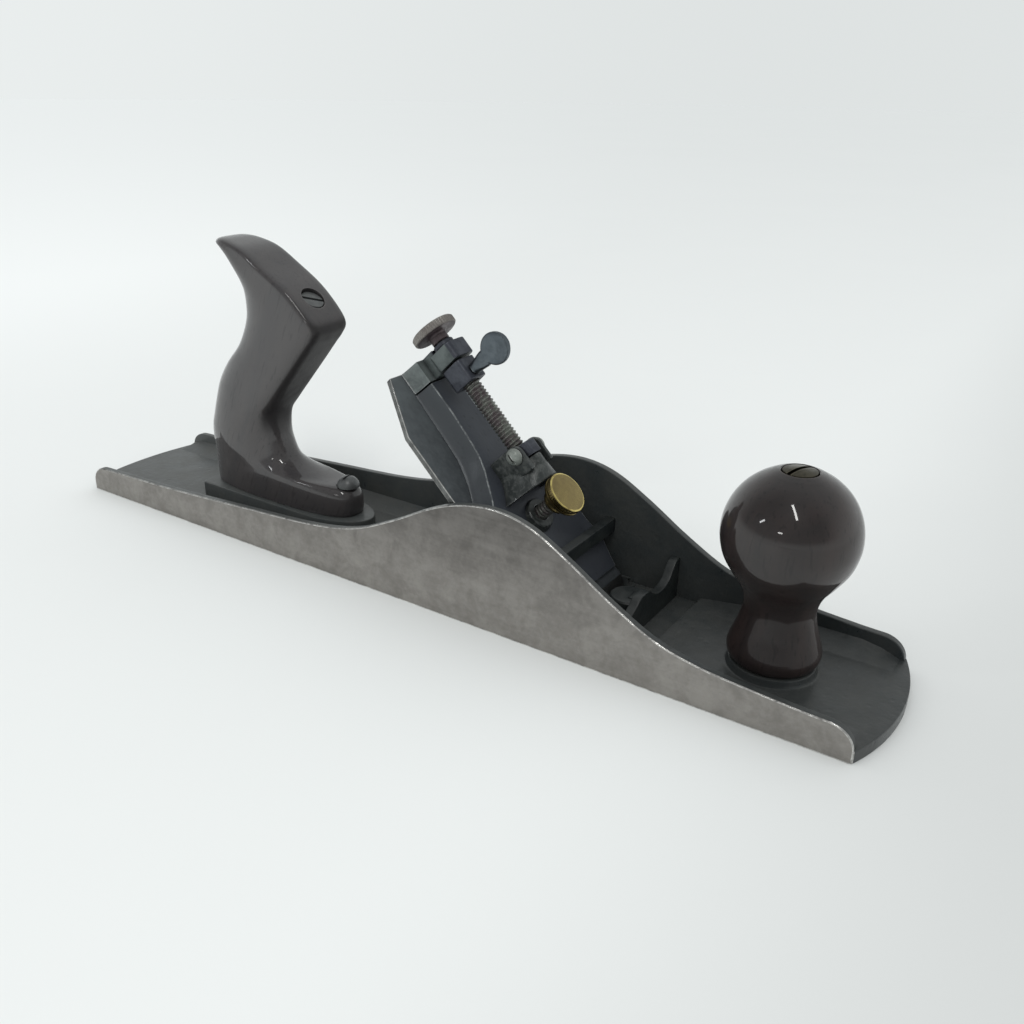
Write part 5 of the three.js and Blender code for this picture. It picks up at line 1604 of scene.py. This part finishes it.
@dataclass
class Adjuster:
    """Bracket on the cutting iron, its block, the screw with its wheel and the thumbscrew."""

    rod_radius: float = 3.2
    rod_start: float = 54.0
    shank: float = 2.5
    start: float = 101.2
    length: float = 8.8
    head_length: float = 6.6
    head_half: float = 5.5
    head_low: float = 12.0
    head_top: float = 23.6
    post_half: float = 3.6
    foot_half: float = 9.6
    foot_top_half: float = 7.0
    foot_high: float = 8.4
    boss: float = 4.0
    block_start: float = 91.9
    block_half: float = 5.0
    block_low: float = 12.6
    block_top: float = 22.4
    block_bore: float = 3.5
    lock_place: float = 95.1
    paddle: float = 5.8
    paddle_thick: float = 2.6
    paddle_height: float = 34.9
    wheel: float = 8.6
    wheel_start: float = 113.5
    wheel_thick: float = 3.2
    teeth: int = 56
    pitch: float = 1.4

    def bar(self, start: float, end: float, half: float, low: float, high: float,
            corner: float) -> Shape:
        """Bar along the iron with well rounded corners."""
        wide, low, high = half - corner, low + corner, high - corner
        middles = ((wide, high), (-wide, high), (-wide, low), (wide, low))
        ring: Outline = []
        for i, middle in enumerate(middles):
            ring += arc(middle, corner, corner, 90 * i, 90 * (i + 1), 6)
        return drawn(ring, start, end, Sweep.ALONG, IRON, rounding=0.5)

    def bracket(self) -> Shape:
        """Foot, post, head and boss of the bracket."""
        low, lip, steps = 1.2, 1.4, 8
        start, end, wide = self.start, self.start + self.length, self.boss
        face = start + self.head_length
        flank = [(-self.foot_half, low)]
        for i in range(steps + 1):
            share = i / steps
            flank.append((-self.foot_half + (self.foot_half - self.foot_top_half) * share,
                          lip + (self.foot_high - lip) * share ** 1.5))
        ring = flank + [(-u, v) for u, v in flank[::-1]]
        foot = drawn(ring, start, end, Sweep.ALONG, IRON, rounding=0.4)
        post = slab((start, -self.post_half, self.foot_high - 1),
                    (end, self.post_half, self.head_low + 2), IRON, rounding=0.5)
        head = self.bar(start, face, self.head_half, self.head_low, self.head_top, 2.2)
        profile = [(0, start + 4), (wide + 0.8, start + 4), (wide + 0.5, face + 0.2),
                   (wide, face + 0.8), (wide, end - 0.4), (wide - 0.3, end - 0.08),
                   (wide - 0.6, end), (0, end)]
        boss = turned(profile, 40, Sweep.ALONG, (0, 0, ROD_HEIGHT), IRON)
        rivet = pin(1.8, -6, 5.3, (start + self.length / 2, 0, 0), frame=IRON)
        return cut(joined(foot, post, head, boss), rod_bore(2.8, start - 6, end + 6), rivet)

    def block(self) -> Shape:
        """Block below the bracket that the thumbscrew locks."""
        end = self.start - 0.6
        block = self.bar(self.block_start, end, self.block_half, self.block_low,
                         self.block_top, 1.7)
        hole = pin(2.2, ROD_HEIGHT, self.block_top + 6, (self.lock_place, 0, 0), frame=IRON)
        return cut(block, rod_bore(self.block_bore, self.block_start - 6, end + 6), hole)

    def screw(self) -> Shape:
        """Threaded rod with a plain shank through the bracket and the wheel."""
        shoulder = self.start - 0.3
        top = self.wheel_start + self.wheel_thick + 0.6
        tail = [(self.rod_radius, shoulder - 0.3), (self.rod_radius - 0.3, shoulder),
                (self.shank, shoulder), (self.shank, top - 0.4), (self.shank - 0.4, top)]
        place = Matrix.Translation((0, 0, ROD_HEIGHT))
        return threaded(self.rod_start, shoulder - 2.2, self.rod_radius, 0.55, self.pitch, place,
                        Sweep.ALONG, tail)

    def thumb_wheel(self) -> Shape:
        """Knurled wheel with its hub."""
        low, high = self.wheel_start, self.wheel_start + self.wheel_thick
        wide = self.wheel
        hub = self.start + self.length + 0.3
        depth, margin = 0.1, 0.35

        def knurl(angle: float, run: float) -> float:
            """Pointed teeth round the rim."""
            if not low + margin < run < high - margin:
                return 0.0
            tooth = abs((angle * self.teeth / (2 * math.pi)) % 1.0 * 2 - 1)
            return depth * (tooth * 2 - 1) - depth / 2

        profile = [
            (2.8, hub), (3.1, hub), (3.4, hub + 0.3), (3.4, low - 0.8), (3.8, low - 0.2),
            (4.4, low), (wide - 0.9, low), (wide - 0.45, low + 0.12), (wide - 0.2, low + 0.35),
            (wide, low + 0.6), (wide, high - 0.6), (wide - 0.2, high - 0.35),
            (wide - 0.45, high - 0.12), (wide - 0.9, high), (5.6, high), (5.3, high - 0.25),
            (4.2, high - 0.25), (3.9, high), (2.8, high),
        ]
        return turned(profile, self.teeth * 4, Sweep.ALONG, (0, 0, ROD_HEIGHT), IRON, knurl)

    def thumbscrew(self) -> Shape:
        """Screw with a flat round paddle, drawn out of a round neck."""
        seat, bottom = self.block_top + 0.3, self.paddle_height - self.paddle
        stem, neck, neck_steps, steps = 1.9, 2.3, 14, 30
        rows = [(21.05, stem - 0.2, stem - 0.2, 2.0), (21.2, stem, stem, 2.0),
                (seat - 0.02, stem, stem, 2.0), (seat, 2.2, 2.2, 2.0), (seat + 0.25, 2.4, 2.4, 2.0)]
        for i in range(neck_steps + 1):
            share = i / neck_steps
            out = seat + 0.6 + (bottom + 0.35 - seat - 0.6) * share
            ease = share * share * (3 - 2 * share)
            rows.append((out, neck + 0.75 * ease, neck - 0.75 * ease, 2 + 1.5 * ease))
        half, first, span = self.paddle_thick / 2, -68, 158
        for i in range(1, steps + 1):
            angle = math.radians(first + span * i / steps)
            chord = self.paddle * math.cos(angle)
            out = self.paddle_height + self.paddle * math.sin(angle)
            near = min(1.0, (self.paddle - (out - self.paddle_height)) / 0.5)
            thick = half * (0.72 + 0.28 * math.sqrt(max(0.0, 1 - (1 - near) ** 2)))
            early = max(0.0, 1 - i / 6)
            wide = max(chord, 3.05 * early, 0.35)
            rows.append((min(out, self.paddle_height + self.paddle - 0.01), wide,
                         thick + 0.25 * early, 5 - 1.5 * early))
        return lofted([[(self.lock_place + u, v, out) for u, v in oval_ring(up, across, power, 48)]
                       for out, up, across, power in rows], IRON)

    def paint_bracket(self, middle: Vector, normal: Vector) -> int:
        """Painted shade on the face and the boss of the head, painted light on the foot, dull
        elsewhere.
        """
        place = TO_IRON @ middle
        out = TURN_TO_IRON @ normal
        on_boss = place.x > self.start + self.head_length + 0.1 and place.z > self.foot_high
        # Painted shade on the face and the boss of the head.
        if on_boss or (place.z > self.head_low and out.z > 0.3):
            return 1
        # Painted light on the flanks of the foot.
        return 2 if place.z < self.foot_high + 0.1 and abs(out.x) < 0.5 else 0

    def paint_wheel(self, middle: Vector, _normal: Vector) -> int:
        """Painted shade on the hub and under the wheel."""
        place = TO_IRON @ middle
        return 1 if place.x < self.wheel_start + 0.1 else 0

    def build(self, bench: Bench) -> None:
        """Builds the adjuster.

        Args:
            bench: Where it is handed in.
        """
        bench.hand_in(self.bracket(), "iron_bracket", "adjuster_bracket",
                      [Look.BRACKET, Look.DARK_STEEL, Look.LIT_BRACKET_FOOT], self.paint_bracket,
                      Body.CUTTER)
        bench.hand_in(self.block(), "lock_block", "adjuster_block", [Look.DARK_STEEL],
                      body=Body.CUTTER)
        rivet = from_node(bench.nodes["bracket_rivet"], 0.25)
        bench.hand_in(rivet, "bracket_pin", "bracket_rivet", [Look.BRIGHT_STEEL],
                      body=Body.CUTTER)
        bench.hand_in(self.screw(), "adjuster_rod", "adjuster_screw", [Look.THREAD],
                      body=Body.ADJUSTER)
        bench.hand_in(self.thumb_wheel(), "thumb_wheel", "adjuster_wheel",
                      [Look.WHEEL, Look.WHEEL_SHADE], self.paint_wheel, Body.ADJUSTER)
        bench.hand_in(self.thumbscrew(), "thumbscrew", "lock_screw", [Look.PADDLE],
                      body=Body.LOCK)


# Tote and knob


def slotted(shape: Shape, along: Vector, low: float, frame: Matrix, wide: float = 1.4) -> Shape:
    """Cuts a screwdriver slot across the top of a nut or screw.

    Args:
        shape: The nut, made about the z axis of the frame.
        along: Direction of the slot across that axis.
        low: Bottom of the slot.
        frame: The frame.
        wide: Width of the slot.

    Returns:
        The shape.
    """
    turn = Matrix.Rotation(math.atan2(along.y, along.x), 4, "Z")
    return cut(shape, slab((-12, -wide / 2, low), (12, wide / 2, low + 12), frame @ turn))


@dataclass
class Tote:
    """Rear handle with its rod, nut and toe screw."""

    x: float = -117.0
    foot: float = 11.5
    reach: float = 76.2
    height: float = 106.1
    thick: float = 22.0
    nut_x: float = 58.4
    nut_z: float = 85.4
    lean: float = math.radians(30.8)
    nut_radius: float = 4.6
    screw_x: float = 72.4
    screw_seat: float = 11.2
    sections: list[tuple[float, ...]] = field(default_factory=lambda: [
        (-0.035, 0, 1.012, 0, 2.6, 2.8, 1), (-0.039, 0.033, 1.02, 0.033, 2.6, 2.8, 1),
        (-0.041, 0.08, 1.012, 0.082, 2.6, 2.6, 1), (-0.041, 0.118, 0.955, 0.108, 2.6, 2.4, 0.98),
        (-0.038, 0.16, 0.76, 0.117, 2.6, 2.2, 0.97), (-0.032, 0.2, 0.59, 0.15, 2.6, 2.2, 0.98),
        (-0.018, 0.253, 0.518, 0.214, 2.6, 2.4, 1), (0.009, 0.304, 0.493, 0.278, 2.6, 2.6, 1),
        (0.035, 0.354, 0.49, 0.341, 2.6, 3.4, 1), (0.085, 0.445, 0.534, 0.39, 2.6, 4.4, 1),
        (0.166, 0.525, 0.63, 0.475, 2.8, 5.2, 1), (0.269, 0.601, 0.752, 0.578, 3, 5.4, 1),
        (0.325, 0.67, 0.831, 0.645, 3, 5.4, 1), (0.353, 0.728, 0.876, 0.683, 3, 5.6, 1),
        (0.356, 0.781, 0.897, 0.722, 3, 6.4, 1), (0.351, 0.828, 0.84, 0.775, 3, 8, 1),
        (0.333, 0.863, 0.728, 0.847, 3, 8, 1), (0.305, 0.901, 0.575, 0.912, 3, 8, 1),
        (0.265, 0.934, 0.434, 0.969, 2.8, 8, 0.94), (0.226, 0.958, 0.314, 0.994, 2.6, 6, 0.84),
        (0.184, 0.97, 0.235, 1.002, 2.4, 4, 0.68), (0.152, 0.979, 0.188, 0.998, 2.2, 3, 0.44)])

    @property
    def rod_frame(self) -> Matrix:
        """Frame of the leaning rod, with its foot at the foot of the tote."""
        run = self.nut_z * math.tan(self.lean)
        place = Matrix.Translation((self.x + self.nut_x - run, 0, self.foot))
        return place @ Matrix.Rotation(self.lean, 4, "Y")

    @property
    def rod_reach(self) -> float:
        """Length of the rod from the foot to the middle of its nut."""
        return self.nut_z / math.cos(self.lean)

    def ring(self, section: Sequence[float]) -> list[Point]:
        """Ring round one section of the tote."""
        back_x, back_z, front_x, front_z, back_square, front_square, thick = section
        half = self.thick / 2 * thick
        sides = 72
        ring = []
        for i in range(sides):
            angle = 2 * math.pi * i / sides
            run = math.cos(angle)
            square = back_square if run < 0 else front_square
            out = max(0.0, 1 - abs(run) ** square) ** (1 / square)
            share = (run + 1) / 2
            ring.append((
                self.x + (back_x + (front_x - back_x) * share) * self.reach,
                math.copysign(out * half, math.sin(angle)),
                self.foot + (back_z + (front_z - back_z) * share) * self.height,
            ))
        return ring

    def handle(self) -> Shape:
        """The wooden handle, bored for its nut and its toe screw."""
        rows = smooth_line(self.sections, 5)
        handle = lofted([self.ring(row) for row in rows])
        rounded(handle, 0.7, 3, 50)
        top, frame = self.rod_reach, self.rod_frame
        seat, place = self.foot + self.screw_seat, (self.x + self.screw_x, 0, 0)
        return cut(
            handle,
            pin(2.9, -6, top, frame=frame),
            pin(self.nut_radius + 0.3, top - 4.3, top + 60, frame=frame, sides=48),
            pin(2.1, 5, seat + 6, place),
            pin(5.0, seat, seat + 20, place, sides=48),
        )

    def nut(self) -> Shape:
        """Slotted nut sunk in the top of the tote."""
        low, wide = self.rod_reach - 4, self.nut_radius
        high = low + 5
        profile = [(0, self.rod_reach - 1.2), (2.9, self.rod_reach - 1.2), (2.9, low), (wide, low),
                   (wide, high - 0.4), (wide - 0.15, high - 0.1), (wide - 0.5, high), (0, high)]
        nut = turned(profile, 48, frame=self.rod_frame)
        return slotted(nut, Vector((0.5, 0.866, 0)), high - 1.2, self.rod_frame)

    def toe_screw(self) -> Shape:
        """Domed screw in the toe of the tote."""
        seat, place = self.foot + self.screw_seat + 0.3, (self.x + self.screw_x, 0, 0)
        profile = [(0, self.foot - 6), (1.8, self.foot - 6), (1.8, seat),
                   *arc((0, seat), 4.7, 4.4, 0, 90, 14)]
        screw = turned(profile, 48, at=place)
        return slotted(screw, Vector((0, 1, 0)), seat + 3.3, Matrix.Translation(place), 1.1)

    def build(self, bench: Bench) -> None:
        """Builds the tote.

        Args:
            bench: Where it is handed in.
        """
        bench.hand_in(self.handle(), "rear_handle", "tote", [Look.TOTE_WOOD], crease=40)
        bench.hand_in(self.nut(), "handle_nut", "tote_nut", [Look.DULL_NUT])
        bench.hand_in(self.toe_screw(), "handle_screw", "tote_toe_screw", [Look.DULL_NUT])
        bench.dress("tote_rod", Look.BRIGHT_STEEL)


@dataclass
class Knob:
    """Front ball knob with its rod and nut."""

    x: float = 136.9
    foot: float = 7.9
    radius: float = 21.25
    height: float = 64.5
    nut_radius: float = 5.3
    nut_low: float = 67.4
    profile: Outline = field(default_factory=lambda: [
        (0.621, 0), (0.673, 0.02), (0.701, 0.051), (0.696, 0.079), (0.645, 0.133),
        (0.584, 0.195), (0.541, 0.257), (0.532, 0.301), (0.569, 0.358), (0.649, 0.412),
        (0.767, 0.467), (0.911, 0.544), (0.979, 0.614), (1, 0.681), (0.969, 0.761),
        (0.88, 0.837), (0.744, 0.901), (0.565, 0.952), (0.376, 0.987)])

    def ball(self) -> Shape:
        """The turned wooden knob."""
        outside = [(u * self.radius, self.foot + v * self.height)
                   for u, v in smooth_line(self.profile, 5)]
        top = self.foot + self.height
        inside = self.nut_radius + 0.3
        profile = [(3.1, self.foot), *outside, (inside + 0.3, top - 0.06), (inside, top - 0.3),
                   (inside, self.nut_low - 0.3), (3.1, self.nut_low - 0.3)]
        return turned(profile, 128, at=(self.x, 0, 0))

    def nut(self) -> Shape:
        """Slotted nut let into the top of the knob."""
        wide, top = self.nut_radius, self.foot + self.height
        profile = [(0, top - 1.8), (3.1, top - 1.8), (3.1, self.nut_low), (wide, self.nut_low),
                   (wide, top - 0.25), (wide - 0.12, top - 0.05), (wide - 0.4, top + 0.08),
                   (wide * 0.6, top + 0.5), (wide * 0.3, top + 0.74), (0, top + 0.8)]
        nut = turned(profile, 64, at=(self.x, 0, 0))
        turn = math.radians(67.5)
        place = Matrix.Translation((self.x, 0, 0))
        return slotted(nut, Vector((math.cos(turn), math.sin(turn), 0)), top - 0.7, place)

    def build(self, bench: Bench) -> None:
        """Builds the knob.

        Args:
            bench: Where it is handed in.
        """
        bench.hand_in(self.ball(), "ball_knob", "knob", [Look.KNOB_WOOD])
        bench.hand_in(self.nut(), "ball_knob_nut", "knob_nut", [Look.NUT_BRASS])
        bench.dress("knob_rod", Look.BRIGHT_STEEL)


# Room


@dataclass
class Room:
    """Pale ground, soft lights and the camera."""

    reach: float = 6.0
    camera_place: Point = (0.21315, -0.2751, 0.1793)
    azimuth: float = math.radians(34.0)
    elevation: float = math.radians(24.67)
    roll: float = math.radians(0.75)
    lens: float = 34.53
    wall: Colour = (0.735, 0.766, 0.763)
    wall_left: Colour = (0.83, 0.863, 0.86)
    wall_high: Colour = (0.5, 0.52, 0.52)
    wall_dark: Colour = (0.07, 0.07, 0.075)
    shift: tuple[float, float] = (0.0179, 0.0078)

    def ground(self, effects: Effects) -> None:
        """Lays the ground."""
        ring = arc((0, 0), self.reach, self.reach, 0, 360, 96)[:-1]
        mesh = bpy.data.meshes.new("ground")
        mesh.from_pydata([(u, v, 0.0) for u, v in ring], [], [list(range(len(ring)))])
        mesh.materials.append(GroundFinish().material(effects))
        ground = placed("ground", mesh)

    def sky(self) -> None:
        """Soft even light all round, and a pale backdrop for the camera and for gloss."""
        world = bpy.data.worlds.new("room")
        bpy.context.scene.world = world
        world.use_nodes = True
        sheet = NodeSheet(world.node_tree)
        sheet.tree.nodes.clear()
        direction = sheet.add("TexCoord").outputs["Generated"]
        parts = sheet.add("SeparateXYZ", {0: direction})
        path = sheet.add("LightPath")
        seen = sheet.maths("MAXIMUM", path.outputs["Is Camera Ray"],
                           sheet.maths("MAXIMUM", path.outputs["Is Glossy Ray"],
                                       path.outputs["Is Transmission Ray"]))
        height = sheet.ramp(parts.outputs[2], 0.06, 0.75)
        front = sheet.ramp(parts.outputs[1], 0.35, -0.4)
        dim = sheet.times(front, sheet.ramp(parts.outputs[2], 0.02, 0.2))
        wall = sheet.blend(left_light(sheet, direction), self.wall, self.wall_left)
        wall = sheet.blend(height, wall, self.wall_high)
        wall = sheet.blend(sheet.times(dim, 0.75), wall, self.wall_dark)
        plain = sheet.add("Background", {"Color": (0.97, 0.985, 1.0, 1.0), "Strength": 1.0})
        backdrop = sheet.add("Background", {"Color": wall, "Strength": 1.0})
        mixed = sheet.add("MixShader", {0: seen, 1: plain.outputs[0], 2: backdrop.outputs[0]})
        out = sheet.add("OutputWorld")
        sheet.tree.links.new(mixed.outputs[0], out.inputs[0])

    def lamp(self, name: str, place: Point, size: tuple[float, float], power: float,
             colour: Colour, turn: float = 0.0) -> None:
        """Hangs one lamp that looks at the plane.

        Args:
            name: Its name.
            place: Where it hangs.
            size: Its length and width.
            power: Its power in watts.
            colour: Its colour.
            turn: Turn about its own line of sight in degrees.
        """
        data = bpy.data.lights.new(name, "AREA")
        data.shape = "RECTANGLE"
        data.size, data.size_y = size
        data.energy = power
        data.color = colour
        lamp = placed(name, data)
        lamp.location = place
        look = Vector((0, 0, 0.02)) - Vector(place)
        spin = Matrix.Rotation(math.radians(turn), 3, "Z")
        lamp.rotation_euler = (look.to_track_quat("-Z", "Y").to_matrix() @ spin).to_euler()

    def camera(self) -> None:
        """Sets the camera where the photograph was taken from."""
        data = bpy.data.cameras.new("camera")
        data.sensor_width = 36.0
        data.lens = self.lens
        data.shift_x, data.shift_y = self.shift
        data.clip_start = 0.01
        camera = placed("camera", data)
        level = math.cos(self.elevation)
        back = Vector((math.sin(self.azimuth) * level, -math.cos(self.azimuth) * level,
                       math.sin(self.elevation)))
        right = Vector((0, 0, 1)).cross(back).normalized()
        up = back.cross(right)
        turned_right = right * math.cos(self.roll) + up * math.sin(self.roll)
        turned_up = up * math.cos(self.roll) - right * math.sin(self.roll)
        turn = Matrix((turned_right, turned_up, back)).transposed().to_4x4()
        camera.matrix_world = Matrix.Translation(self.camera_place) @ turn
        bpy.context.scene.camera = camera

    def build(self, effects: Effects) -> None:
        """Builds the room.

        Args:
            effects: The shared node groups.
        """
        self.ground(effects)
        self.sky()
        self.lamp("ceiling", (0.385, -0.785, 1.41), (0.09, 0.8), 4.5, (1.0, 0.99, 0.97), 12)
        self.lamp("window", (-0.6, -0.9, 0.62), (0.06, 0.2), 0.6, (0.97, 0.98, 1.0), -40)
        self.lamp("bench", (0.1, -1.12, 0.47), (0.14, 0.045), 0.3, (1.0, 0.99, 0.97))
        self.camera()
        bpy.context.scene.view_settings.view_transform = "Standard"


def main() -> None:
    """Loads the frame, builds the room and each sub-assembly in order."""
    logging.basicConfig(level=logging.INFO, format="%(name)s: %(message)s")
    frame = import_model()
    effects = Effects()
    bench = Bench(frame["nodes"], effects)
    Room().build(effects)
    for part in (BodyCasting(), Irons(), LeverCap(), Adjuster(), Tote(), Knob()):
        part.build(bench)
        LOG.info("built %s", type(part).__name__)


if __name__ == "__main__":
    main()
